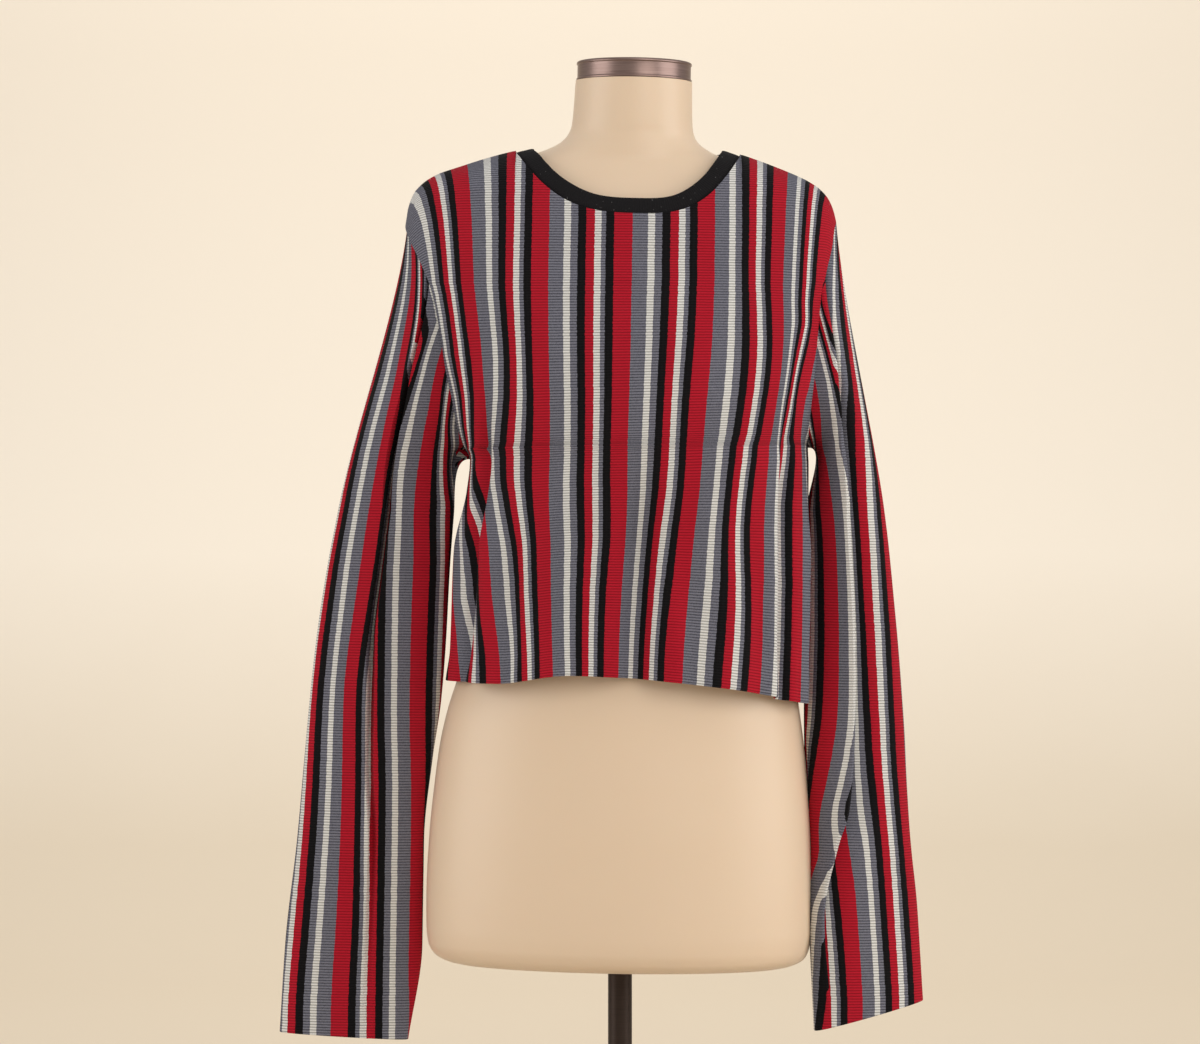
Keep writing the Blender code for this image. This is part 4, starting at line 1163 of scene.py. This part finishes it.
class Materials:
    """The finishes of the garment and its stand."""

    def _new(self, name: str) -> tuple:
        """Return a new material, its tree and its shader."""
        material = bpy.data.materials.new(name)
        material.use_nodes = True
        tree = material.node_tree
        return material, tree, tree.nodes["Principled BSDF"]

    def _ramp(self, tree: bpy.types.NodeTree, place, colours: Sequence[tuple]
              ) -> bpy.types.NodeSocket:
        """Return a stepped ramp with one flat colour for each stripe."""
        node = add_node(tree, "ShaderNodeValToRGB", {0: place})
        node.color_ramp.interpolation = "CONSTANT"
        total = sum(yarn.width for yarn in YARNS)
        start = 0.0
        for number, (yarn, colour) in enumerate(zip(YARNS, colours)):
            if number == 0:
                element = node.color_ramp.elements[0]
                element.position = 0.0
            elif number == 1:
                element = node.color_ramp.elements[1]
                element.position = start / total
            else:
                element = node.color_ramp.elements.new(start / total)
            element.color = colour
            start += yarn.width
        return node.outputs["Color"]

    def striped_knit(self) -> bpy.types.Material:
        """Fine rib knit of cotton yarn: matt, each course a rounded horizontal rib, with shade
        painted into the grooves between courses and stitches.
        """
        material, tree, shader = self._new("striped_rib_knit")
        uv = add_node(tree, "ShaderNodeUVMap", uv_map="knit").outputs["UV"]
        split = add_node(tree, "ShaderNodeSeparateXYZ", {0: uv})
        across, along = split.outputs[0], split.outputs[1]
        course = math_node(tree, "FLOOR", along)
        # Each course starts its stripes a fraction of a stitch away from its neighbour.
        jitter = add_node(tree, "ShaderNodeTexWhiteNoise", {"W": course},
                          noise_dimensions="1D").outputs["Value"]
        jitter = math_node(tree, "MULTIPLY_ADD", jitter, 0.45 / STRIPE_REPEAT,
                           -0.22 / STRIPE_REPEAT)
        red_half = 0.5 * YARNS[0].width / STRIPE_REPEAT
        place = math_node(tree, "ADD", across, jitter)
        place = math_node(tree, "FRACT", math_node(tree, "ADD", place, red_half + 100.0))
        rib = self._ramp(tree, place, [srgb(yarn.rib) for yarn in YARNS])
        # Painted shade: each stripe's darker colour for its grooves.
        groove = self._ramp(tree, place, [srgb(yarn.groove) for yarn in YARNS])
        marl = self._ramp(tree, place, [(yarn.marl,) * 3 + (1.0,) for yarn in YARNS])
        # The rib's rounded crest against the groove between two courses; away from the crest the
        # colour takes painted shade.
        phase = math_node(tree, "FRACT", math_node(tree, "ADD", along, 100.0))
        crest = math_node(tree, "SINE", math_node(tree, "MULTIPLY", phase, math.pi))
        crest = math_node(tree, "POWER", crest, 0.75)
        # Single stitches, 1.25 mm apart along a course and set off by half each course; their edges
        # take painted shade too.
        half_step = math_node(tree, "MULTIPLY", course, 0.5)
        stitch = math_node(tree, "MULTIPLY_ADD", across, STRIPE_REPEAT / 1.25, half_step)
        stitch = math_node(tree, "FRACT", math_node(tree, "ADD", stitch, 400.0))
        loop = math_node(tree, "SINE", math_node(tree, "MULTIPLY", stitch, math.pi))
        loop = math_node(tree, "POWER", loop, 0.5)
        position = add_node(tree, "ShaderNodeTexCoord").outputs["Object"]
        fleck = add_node(tree, "ShaderNodeTexNoise",
                         {"Vector": position, "Scale": 1100.0, "Detail": 2.0})
        fibre = add_node(tree, "ShaderNodeTexNoise",
                         {"Vector": position, "Scale": 2600.0, "Detail": 3.0})
        wash = add_node(tree, "ShaderNodeTexNoise",
                        {"Vector": position, "Scale": 22.0, "Detail": 3.0})
        light = math_node(tree, "MULTIPLY", crest, math_node(tree, "MULTIPLY_ADD", loop, 0.3, 0.7))
        spread = math_node(tree, "SUBTRACT", fleck.outputs["Fac"], 0.5)
        spread = math_node(tree, "MULTIPLY", spread, marl)
        light = math_node(tree, "ADD", light, math_node(tree, "MULTIPLY", spread, 1.5), clamp=True)
        # Painted shade: the darker groove colour is mixed in away from the rib crests and stitch
        # middles, on top of the bump.
        colour = add_node(tree, "ShaderNodeMix", {0: light, 6: groove, 7: rib},
                          data_type="RGBA").outputs[2]
        tone = math_node(tree, "MULTIPLY_ADD", wash.outputs["Fac"], 0.16, 0.92)
        fuzz = math_node(tree, "MULTIPLY_ADD", fibre.outputs["Fac"], 0.2, 0.9)
        tone = math_node(tree, "MULTIPLY", tone, fuzz)
        colour = add_node(tree, "ShaderNodeVectorMath", {0: colour, 1: tone},
                          operation="MULTIPLY").outputs[0]
        height = math_node(tree, "MULTIPLY_ADD", loop, 0.25, crest)
        height = math_node(tree, "MULTIPLY_ADD", fibre.outputs["Fac"], 0.25, height)
        bump = add_node(tree, "ShaderNodeBump",
                        {"Strength": 0.9, "Distance": 0.0006, "Height": height})
        tree.links.new(colour, shader.inputs["Base Color"])
        tree.links.new(bump.outputs["Normal"], shader.inputs["Normal"])
        rough = math_node(tree, "MULTIPLY_ADD", fibre.outputs["Fac"], 0.1, 0.82)
        tree.links.new(rough, shader.inputs["Roughness"])
        shader.inputs["Specular IOR Level"].default_value = 0.10
        shader.inputs["Sheen Weight"].default_value = 0.02
        shader.inputs["Sheen Roughness"].default_value = 0.5
        return material

    def band_knit(self) -> bpy.types.Material:
        """Black doubled rib: matt cotton, fine stitches on each modelled rib."""
        material, tree, shader = self._new("black_rib_knit")
        position = add_node(tree, "ShaderNodeTexCoord").outputs["Object"]
        fibre = add_node(tree, "ShaderNodeTexNoise",
                         {"Vector": position, "Scale": 1500.0, "Detail": 3.0})
        lint = add_node(tree, "ShaderNodeTexNoise",
                        {"Vector": position, "Scale": 420.0, "Detail": 1.0})
        speck = math_node(tree, "SUBTRACT", lint.outputs["Fac"], 0.735, clamp=True)
        speck = math_node(tree, "MULTIPLY", speck, 14.0, clamp=True)
        mix = math_node(tree, "MULTIPLY", fibre.outputs["Fac"], 0.9, clamp=True)
        yarn = add_node(tree, "ShaderNodeMix", {0: mix, 6: srgb("#0E0D0E"), 7: srgb("#242224")},
                        data_type="RGBA").outputs[2]
        colour = add_node(tree, "ShaderNodeMix", {0: speck, 6: yarn, 7: srgb("#6E6C6C")},
                          data_type="RGBA").outputs[2]
        bump = add_node(tree, "ShaderNodeBump", {"Strength": 0.6, "Distance": 0.0003,
                                                 "Height": fibre.outputs["Fac"]})
        tree.links.new(colour, shader.inputs["Base Color"])
        tree.links.new(bump.outputs["Normal"], shader.inputs["Normal"])
        shader.inputs["Roughness"].default_value = 0.88
        shader.inputs["Specular IOR Level"].default_value = 0.12
        shader.inputs["Sheen Weight"].default_value = 0.03
        return material

    def form_shell(self) -> bpy.types.Material:
        """Cream satin shell of the form: smooth moulded skin with a faint orange-peel."""
        material, tree, shader = self._new("cream_satin_shell")
        position = add_node(tree, "ShaderNodeTexCoord").outputs["Object"]
        cloud = add_node(tree, "ShaderNodeTexNoise",
                         {"Vector": position, "Scale": 5.0, "Detail": 3.0})
        peel = add_node(tree, "ShaderNodeTexNoise",
                        {"Vector": position, "Scale": 260.0, "Detail": 2.0})
        colour = add_node(tree, "ShaderNodeMix", {0: cloud.outputs["Fac"], 6: srgb("#E6CCAF"),
                                                  7: srgb("#E9D0B4")}, data_type="RGBA")
        bump = add_node(tree, "ShaderNodeBump", {"Strength": 0.25, "Distance": 0.0002,
                                                 "Height": peel.outputs["Fac"]})
        tree.links.new(colour.outputs[2], shader.inputs["Base Color"])
        tree.links.new(bump.outputs["Normal"], shader.inputs["Normal"])
        rough = math_node(tree, "MULTIPLY_ADD", cloud.outputs["Fac"], 0.1, 0.34)
        tree.links.new(rough, shader.inputs["Roughness"])
        shader.inputs["Subsurface Weight"].default_value = 0.06
        shader.inputs["Subsurface Radius"].default_value = (0.004, 0.002, 0.001)
        shader.inputs["Specular IOR Level"].default_value = 0.45
        return material

    def metal(self, name: str, low: str, high: str, rough: float, metallic: float
              ) -> bpy.types.Material:
        """Satin metal with fine turned marks, in two close tones.

        Args:
            name: the material's name.
            low: sRGB hex of its darker tone.
            high: sRGB hex of its lighter tone.
            rough: mean roughness.
            metallic: metallic value.
        """
        material, tree, shader = self._new(name)
        position = add_node(tree, "ShaderNodeTexCoord").outputs["Object"]
        stretch = add_node(tree, "ShaderNodeMapping",
                           {"Vector": position, "Scale": (30.0, 30.0, 1600.0)})
        marks = add_node(tree, "ShaderNodeTexNoise",
                         {"Vector": stretch.outputs[0], "Scale": 1.0, "Detail": 2.0})
        colour = add_node(tree, "ShaderNodeMix", {0: marks.outputs["Fac"], 6: srgb(low),
                                                  7: srgb(high)}, data_type="RGBA")
        bump = add_node(tree, "ShaderNodeBump", {"Strength": 0.2, "Distance": 0.0001,
                                                 "Height": marks.outputs["Fac"]})
        tree.links.new(colour.outputs[2], shader.inputs["Base Color"])
        tree.links.new(bump.outputs["Normal"], shader.inputs["Normal"])
        value = math_node(tree, "MULTIPLY_ADD", marks.outputs["Fac"], 0.12, rough - 0.06)
        tree.links.new(value, shader.inputs["Roughness"])
        shader.inputs["Metallic"].default_value = metallic
        return material

    def paper(self) -> bpy.types.Material:
        """Warm pale studio paper, with painted shade that makes it a little darker towards the
        floor.
        """
        material, tree, shader = self._new("pale_studio_paper")
        position = add_node(tree, "ShaderNodeTexCoord").outputs["Object"]
        height = add_node(tree, "ShaderNodeSeparateXYZ", {0: position}).outputs[2]
        grain = add_node(tree, "ShaderNodeTexNoise",
                         {"Vector": position, "Scale": 3.0, "Detail": 6.0})
        # Painted shade: the colour darkens towards the floor, with a little random grain in it.
        rise = math_node(tree, "MULTIPLY_ADD", height, 1.35, -0.40)
        rise = math_node(tree, "ADD", rise, math_node(
            tree, "MULTIPLY", grain.outputs["Fac"], 0.12), clamp=True)
        colour = add_node(tree, "ShaderNodeMix", {0: rise, 6: srgb("#DCCFBB"),
                                                  7: srgb("#F1E8DA")}, data_type="RGBA")
        tree.links.new(colour.outputs[2], shader.inputs["Base Color"])
        shader.inputs["Roughness"].default_value = 0.95
        shader.inputs["Specular IOR Level"].default_value = 0.1
        return material


def band_rings(front: np.ndarray, back: np.ndarray) -> tuple:
    """Return the neckline seam as one closed ring, with outward and rising directions."""
    seam = np.concatenate([front[:-1], back[::-1][:-1]])
    run = run_of(np.concatenate([seam, seam[:1]]))
    ribs = round(run[-1] / BAND_RIB_PITCH)
    goal = np.arange(ribs * 4) / (ribs * 4) * run[-1]
    seam = read_line(np.concatenate([seam, seam[:1]]), run, goal)
    outward = []
    for point in seam:
        facing = Facing.FRONT if point[1] < RIDGE_Y else Facing.BACK
        near = []
        for axis, step in ((0, 1.0), (2, 1.0)):
            low, high = point.copy(), point.copy()
            low[axis] -= step
            high[axis] += step
            near.append((section_level(high, facing) - section_level(low, facing)) / 2.0)
        low, high = point.copy(), point.copy()
        low[1] -= 1.0
        high[1] += 1.0
        outward.append((near[0], (section_level(high, facing) - section_level(low, facing)) / 2.0,
                        near[1]))
    outward = unit(np.array(outward))
    along = unit(np.gradient(np.concatenate([seam[-1:], seam, seam[:1]]), axis=0)[1:-1])
    outward = unit(outward - along * np.sum(outward * along, axis=1)[:, None])
    rise = unit(np.cross(along, outward))
    if np.mean(rise[:, 2]) < 0.0:
        rise = -rise
    return seam, outward, unit(rise - 0.10 * outward)


def section_level(point: np.ndarray, facing: Facing) -> float:
    """Return how far out of the cloth's level sections a point lies, 1 on the cloth."""
    z = point[2]
    left, right = float(Body.sections.at("left", z)), float(Body.sections.at("right", z))
    deep = float(Body.sections.at("front" if facing is Facing.FRONT else "back", z))
    square = float(Body.sections.at("square", z))
    across = abs(point[0] - 0.5 * (left + right)) / (0.5 * (right - left))
    through = abs(point[1] - RIDGE_Y) / deep
    return (across ** square + through ** square) ** (1.0 / square)


def neckband(maker: MeshMaker) -> bpy.types.Object:
    """Make the doubled rib round the neck, with its ribs modelled."""
    seam, outward, rise = band_rings(Body.neckline(Facing.FRONT, 900),
                                     Body.neckline(Facing.BACK, 900))
    ribs = 0.16 * np.cos(np.arange(len(seam)) * 0.5 * np.pi)[:, None]
    rings = []
    for step in np.linspace(0.0, 2.0 * np.pi, BAND_PROFILE, endpoint=False):
        up = 0.5 - 0.5 * np.sign(np.cos(step)) * abs(np.cos(step)) ** 0.35
        out = 0.5 * BAND_WALL * np.sign(np.sin(step)) * abs(np.sin(step)) ** 0.6
        swell = 0.35 * math.sin(math.pi * up)
        middle = seam + rise * (0.3 + BAND_HEIGHT * up) - outward * (0.5 * BAND_WALL)
        rings.append(middle + outward * (out + (swell + ribs) * (1.0 if out > 0.0 else -0.4)))
    layers = np.stack(rings)
    rows, columns = layers.shape[:2]
    index = np.arange(rows * columns).reshape(rows, columns)
    index = np.concatenate([index, index[:1]])
    index = np.concatenate([index, index[:, :1]], axis=1)
    faces = np.stack([index[:-1, :-1], index[:-1, 1:], index[1:, 1:], index[1:, :-1]],
                     axis=2).reshape(-1, 4)
    return maker.add("sweater_neckband", leaned(layers).reshape(-1, 3), faces, sharp=80.0)


def stitch_row(name: str, path: np.ndarray, pitch: float, size: tuple,
               material: bpy.types.Material, maker: MeshMaker) -> bpy.types.Object:
    """Make a row of linked stitches along a closed path with Geometry Nodes.

    Args:
        name: the piece's name.
        path: the seam's points, upright, in millimetres.
        pitch: distance between two stitches, in millimetres.
        size: a stitch's length and thickness, in millimetres.
        material: the yarn.
        maker: gives the collection.

    Returns:
        The stitches as one plain mesh.
    """
    curve = bpy.data.curves.new(name + "_path", "CURVE")
    curve.dimensions = "3D"
    spline = curve.splines.new("POLY")
    points = leaned(path)
    spline.points.add(len(points) - 1)
    spline.points.foreach_set(
        "co", np.concatenate([points, np.ones((len(points), 1))], axis=1).ravel())
    spline.use_cyclic_u = True
    guide = bpy.data.objects.new(name + "_path", curve)
    maker.collection.objects.link(guide)
    tree = bpy.data.node_groups.new(name + "_nodes", "GeometryNodeTree")
    tree.interface.new_socket("Geometry", in_out="INPUT", socket_type="NodeSocketGeometry")
    tree.interface.new_socket("Geometry", in_out="OUTPUT", socket_type="NodeSocketGeometry")
    start = add_node(tree, "NodeGroupInput")
    places = add_node(tree, "GeometryNodeResampleCurve",
                      {"Curve": start.outputs[0], "Length": pitch * MM}, mode="LENGTH")
    beads = add_node(tree, "GeometryNodeCurveToPoints", {"Curve": places.outputs[0]},
                     mode="EVALUATED")
    bead = add_node(tree, "GeometryNodeMeshUVSphere", {"Segments": 6, "Rings": 4, "Radius": 1.0})
    shape = add_node(tree, "GeometryNodeTransform",
                     {"Geometry": bead.outputs[0],
                      "Scale": (0.5 * size[1] * MM, 0.5 * size[1] * MM, 0.5 * size[0] * MM)})
    copies = add_node(tree, "GeometryNodeInstanceOnPoints",
                      {"Points": beads.outputs["Points"], "Instance": shape.outputs[0],
                       "Rotation": beads.outputs["Rotation"]})
    real = add_node(tree, "GeometryNodeRealizeInstances", {0: copies.outputs[0]})
    paint = add_node(tree, "GeometryNodeSetMaterial",
                     {"Geometry": real.outputs[0], "Material": material})
    end = add_node(tree, "NodeGroupOutput")
    tree.links.new(paint.outputs[0], end.inputs[0])
    guide.modifiers.new("stitches", "NODES").node_group = tree
    view = bpy.context.evaluated_depsgraph_get()
    mesh = bpy.data.meshes.new_from_object(guide.evaluated_get(view))
    bpy.data.objects.remove(guide, do_unlink=True)
    mesh.name = name
    mesh.shade_smooth()
    item = bpy.data.objects.new(name, mesh)
    maker.collection.objects.link(item)
    return item


def form_torso(maker: MeshMaker) -> bpy.types.Object:
    """Make the form's torso and neck as one smooth closed loft."""
    table = Table(FORM_SECTIONS)
    heights = np.concatenate([
        np.linspace(678.0, 712.0, 24)[:-1], np.linspace(712.0, 1340.0, 90)[:-1],
        np.linspace(1340.0, 1434.0, 44)[:-1], np.linspace(1434.0, NECK_TOP, 6)])
    angle = np.linspace(0.0, 2.0 * np.pi, 144, endpoint=False)
    rings = []
    for z in heights:
        left, right = float(table.at("left", z)), float(table.at("right", z))
        deep = np.where(np.sin(angle) < 0.0, table.at("front", z), table.at("back", z))
        x = 0.5 * (left + right) + 0.5 * (right - left) * np.cos(angle)
        rings.append(np.stack([x, RIDGE_Y + deep * np.sin(angle), np.full_like(x, z)], axis=1))
    # Close the flat underside and the neck's top with shrinking rings.
    for ring, at in ((rings[0], 0), (rings[-1], len(rings))):
        centre = np.mean(ring, axis=0)
        for share in (0.6, 0.02):
            rings.insert(0 if at == 0 else len(rings), centre + (ring - centre) * share)
    layers = np.stack(rings)
    rows, columns = layers.shape[:2]
    index = np.arange(rows * columns).reshape(rows, columns)
    index = np.concatenate([index, index[:, :1]], axis=1)
    faces = np.stack([index[:-1, :-1], index[:-1, 1:], index[1:, 1:], index[1:, :-1]],
                     axis=2).reshape(-1, 4)
    return maker.add("dress_form", leaned(layers).reshape(-1, 3), faces, sharp=60.0)


def turned(maker: MeshMaker, name: str, profile: Sequence[tuple], steps: int
           ) -> bpy.types.Object:
    """Turn a profile of (radius, height) about Z with a Screw modifier."""
    mesh = bpy.data.meshes.new(name + "_profile")
    mesh.from_pydata([(radius * MM, 0.0, height * MM) for radius, height in profile],
                     [(k, k + 1) for k in range(len(profile) - 1)], [])
    item = bpy.data.objects.new(name + "_profile", mesh)
    maker.collection.objects.link(item)
    screw = item.modifiers.new("turn", "SCREW")
    screw.steps = screw.render_steps = steps
    screw.use_merge_vertices = True
    screw.merge_threshold = 0.00001
    view = bpy.context.evaluated_depsgraph_get()
    solid = bpy.data.meshes.new_from_object(item.evaluated_get(view))
    bpy.data.objects.remove(item, do_unlink=True)
    work = bmesh.new()
    work.from_mesh(solid)
    bmesh.ops.remove_doubles(work, verts=work.verts, dist=0.00001)
    bmesh.ops.recalc_face_normals(work, faces=work.faces)
    work.to_mesh(solid)
    work.free()
    solid.name = name
    solid.shade_smooth()
    solid.set_sharp_from_angle(angle=math.radians(35.0))
    made = bpy.data.objects.new(name, solid)
    maker.collection.objects.link(made)
    return made


def rounded(outer: Sequence[tuple]) -> list:
    """Return a profile with each marked corner (radius, height, round) rounded off."""
    result = []
    for number, (x, z, curve) in enumerate(outer):
        if curve <= 0.0 or number in (0, len(outer) - 1):
            result.append((x, z))
            continue
        here = np.array((x, z))
        before = np.array(outer[number - 1][:2]) - here
        after = np.array(outer[number + 1][:2]) - here
        start = here + before / np.linalg.norm(before) * curve
        end = here + after / np.linalg.norm(after) * curve
        for part in np.linspace(0.0, 1.0, 6):
            point = start * (1 - part) ** 2 + 2 * here * part * (1 - part) + end * part ** 2
            result.append((float(point[0]), float(point[1])))
    return result


class Studio:
    """Floor, wall, lights and camera."""

    def build(self, paper: bpy.types.Material) -> None:
        """Make the studio. Args: paper: the floor's and the wall's finish."""
        self._sweep(paper)
        self._world()
        self._light("key", (1.4, -3.0, 2.4), (0.0, 0.0, 1.05), 2.0, 30.0, "#FFFCF8")
        self._light("left", (-2.9, -1.0, 1.5), (0.0, 0.0, 1.05), 2.2, 34.0, "#FFFFFF")
        self._light("right", (2.9, -0.9, 1.6), (0.0, 0.0, 1.05), 2.2, 38.0, "#FFFFFF")
        self._light("top", (0.0, -0.6, 3.2), (0.0, 0.1, 1.0), 1.8, 4.0, "#FFFFFF")
        self._light("wall", (0.0, 5.0, 5.6), (0.0, 8.6, 1.2), 4.0, 212.0, "#FFFCF8")
        self._camera()

    def _sweep(self, paper: bpy.types.Material) -> None:
        """Make the floor that curves up into a wall."""
        # The wall stands farther off than any camera, so the back can be seen as well.
        profile = [(-10.0, 0.0), (6.6, 0.0)]
        profile += [(6.6 + 2.4 * math.sin(a), 2.4 - 2.4 * math.cos(a))
                    for a in np.linspace(0.05, 0.5 * math.pi, 16)]
        profile.append((9.0, 7.0))
        points = [(x, y, z) for x in (-11.0, 11.0) for y, z in profile]
        count = len(profile)
        faces = [(k, k + 1, k + 1 + count, k + count) for k in range(count - 1)]
        mesh = bpy.data.meshes.new("studio_sweep")
        mesh.from_pydata(points, [], faces)
        mesh.materials.append(paper)
        mesh.shade_smooth()
        item = bpy.data.objects.new("studio_sweep", mesh)
        bpy.context.scene.collection.objects.link(item)

    def _world(self) -> None:
        """Light the studio evenly from all round."""
        world = bpy.data.worlds.new("studio_air")
        bpy.context.scene.world = world
        world.use_nodes = True
        node = world.node_tree.nodes["Background"]
        node.inputs[0].default_value = srgb("#FFFDFA")
        node.inputs[1].default_value = 0.45

    def _light(self, name: str, place: tuple, aim: tuple, size: float, power: float,
               colour: str) -> None:
        """Add a square area light."""
        data = bpy.data.lights.new(name, "AREA")
        data.size = size
        data.energy = power
        data.color = srgb(colour)[:3]
        item = bpy.data.objects.new(name, data)
        item.location = place
        item.rotation_euler = (Vector(aim) - Vector(place)).to_track_quat("-Z", "Y").to_euler()
        bpy.context.scene.collection.objects.link(item)

    def _camera(self) -> None:
        """Stand the camera square to the front, as in the photograph."""
        data = bpy.data.cameras.new("camera")
        data.lens = 140.0
        data.sensor_width = 36.0
        data.clip_end = 60.0
        item = bpy.data.objects.new("camera", data)
        item.location = (-0.018, -4.2, 1.078)
        item.rotation_euler = (math.radians(90.0), 0.0, 0.0)
        bpy.context.scene.collection.objects.link(item)
        bpy.context.scene.camera = item


def dress(item: bpy.types.Object, material: bpy.types.Material, slot: str,
          *nodes: str) -> bpy.types.Object:
    """Give a piece its finish and its body, and hide the nodes that it stands for."""
    item.data.materials.clear()
    item.data.materials.append(material)
    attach(item, "root")
    if nodes:
        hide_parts(*nodes)
    return item


def build_garment(maker: MeshMaker, materials: Materials) -> None:
    """Make the sweater's pieces."""
    knit = materials.striped_knit()
    black = materials.band_knit()
    front = Panel(Facing.FRONT, FRONT_FOLDS).grid()
    back = Panel(Facing.BACK, BACK_FOLDS).grid()
    left = Sleeve(Side.LEFT, LEFT_ROWS, LEFT_MARKS).grid(armhole_loop(front, back, 0))
    right = Sleeve(Side.RIGHT, RIGHT_ROWS, RIGHT_MARKS).grid(armhole_loop(front, back, -1))
    towards = np.array((0.0, -1.0, 0.0))
    pieces = {
        "front": maker.wall("sweater_front", front, towards, WALL),
        "back": maker.wall("sweater_back", back, -towards, WALL),
        "sleeve_left": maker.wall("sweater_sleeve_left", left, towards, WALL),
        "sleeve_right": maker.wall("sweater_sleeve_right", right, towards, WALL),
    }
    for node, item in pieces.items():
        dress(item, knit, node, node)
    band = dress(neckband(maker), black, "neckband", "neckband")
    seam, outward, rise = band_rings(Body.neckline(Facing.FRONT, 300),
                                     Body.neckline(Facing.BACK, 300))
    chain = stitch_row("neck_linking", seam + outward * 0.15 + rise * 0.2, 1.8, (1.7, 0.8),
                       black, maker)
    dress(chain, black, "neckband")


def build_stand(maker: MeshMaker, materials: Materials) -> None:
    """Make the form, its cap, the pole and the base."""
    dress(form_torso(maker), materials.form_shell(), "form_torso", "form_torso")
    bronze = materials.metal("bronze_satin_cap", "#6E5750", "#A38C84", 0.34, 0.85)
    brown = materials.metal("dark_bronze_tube", "#2B211D", "#43362F", 0.42, 0.7)
    low, high = NECK_TOP + 0.3, NECK_TOP + 0.3 + CAP_HEIGHT
    profile = rounded(((0.0, high + 2.4, 0.0), (30.0, high + 1.6, 0.0),
                       (CAP_RADIUS - 0.3, high, 1.6), (CAP_RADIUS, high - 2.6, 0.6),
                       (CAP_RADIUS - 0.9, high - 3.0, 0.3), (CAP_RADIUS - 0.9, low + 2.2, 0.3),
                       (CAP_RADIUS, low + 1.8, 0.4), (CAP_RADIUS, low, 0.6), (0.0, low, 0.0)))
    cap = turned(maker, "form_cap", profile, 96)
    tilt = (Matrix.Translation((LEAN_CENTRE_X * MM, 0.0, LEAN_PIVOT_Z * MM))
            @ Matrix.Rotation(math.radians(LEAN_DEGREES), 4, "Y")
            @ Matrix.Translation((-LEAN_CENTRE_X * MM, (RIDGE_Y - 1.0) * MM, -LEAN_PIVOT_Z * MM)))
    cap.data.transform(tilt)
    dress(cap, bronze, "neck_cap", "neck_cap")
    foot = BASE_THICKNESS + 0.3
    pole = turned(maker, "pole", ((0.0, POLE_TOP), (POLE_RADIUS, POLE_TOP),
                                  (POLE_RADIUS, foot), (0.0, foot)), 64)
    dress(pole, brown, "stand_pole", "stand_pole")
    base = turned(maker, "base", rounded(((0.0, BASE_THICKNESS, 0.0),
                                          (BASE_RADIUS, BASE_THICKNESS, 4.0),
                                          (BASE_RADIUS, 0.0, 1.0), (0.0, 0.0, 0.0))), 128)
    dress(base, brown, "stand_base", "stand_base")


def main() -> None:
    """Dress the frame and light it."""
    logging.basicConfig(level=logging.INFO, format="%(asctime)s %(name)s: %(message)s")
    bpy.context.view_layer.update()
    collection = bpy.data.collections.new("striped_sweater")
    bpy.context.scene.collection.children.link(collection)
    maker = MeshMaker(collection)
    materials = Materials()
    LOG.info("frame loaded")
    build_garment(maker, materials)
    LOG.info("garment built")
    build_stand(maker, materials)
    Studio().build(materials.paper())
    bpy.context.scene.view_settings.view_transform = "Standard"
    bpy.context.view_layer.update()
    for item in collection.objects:
        LOG.info("%s: %d faces", item.name, len(item.data.polygons))


if __name__ == "__main__":
    main()
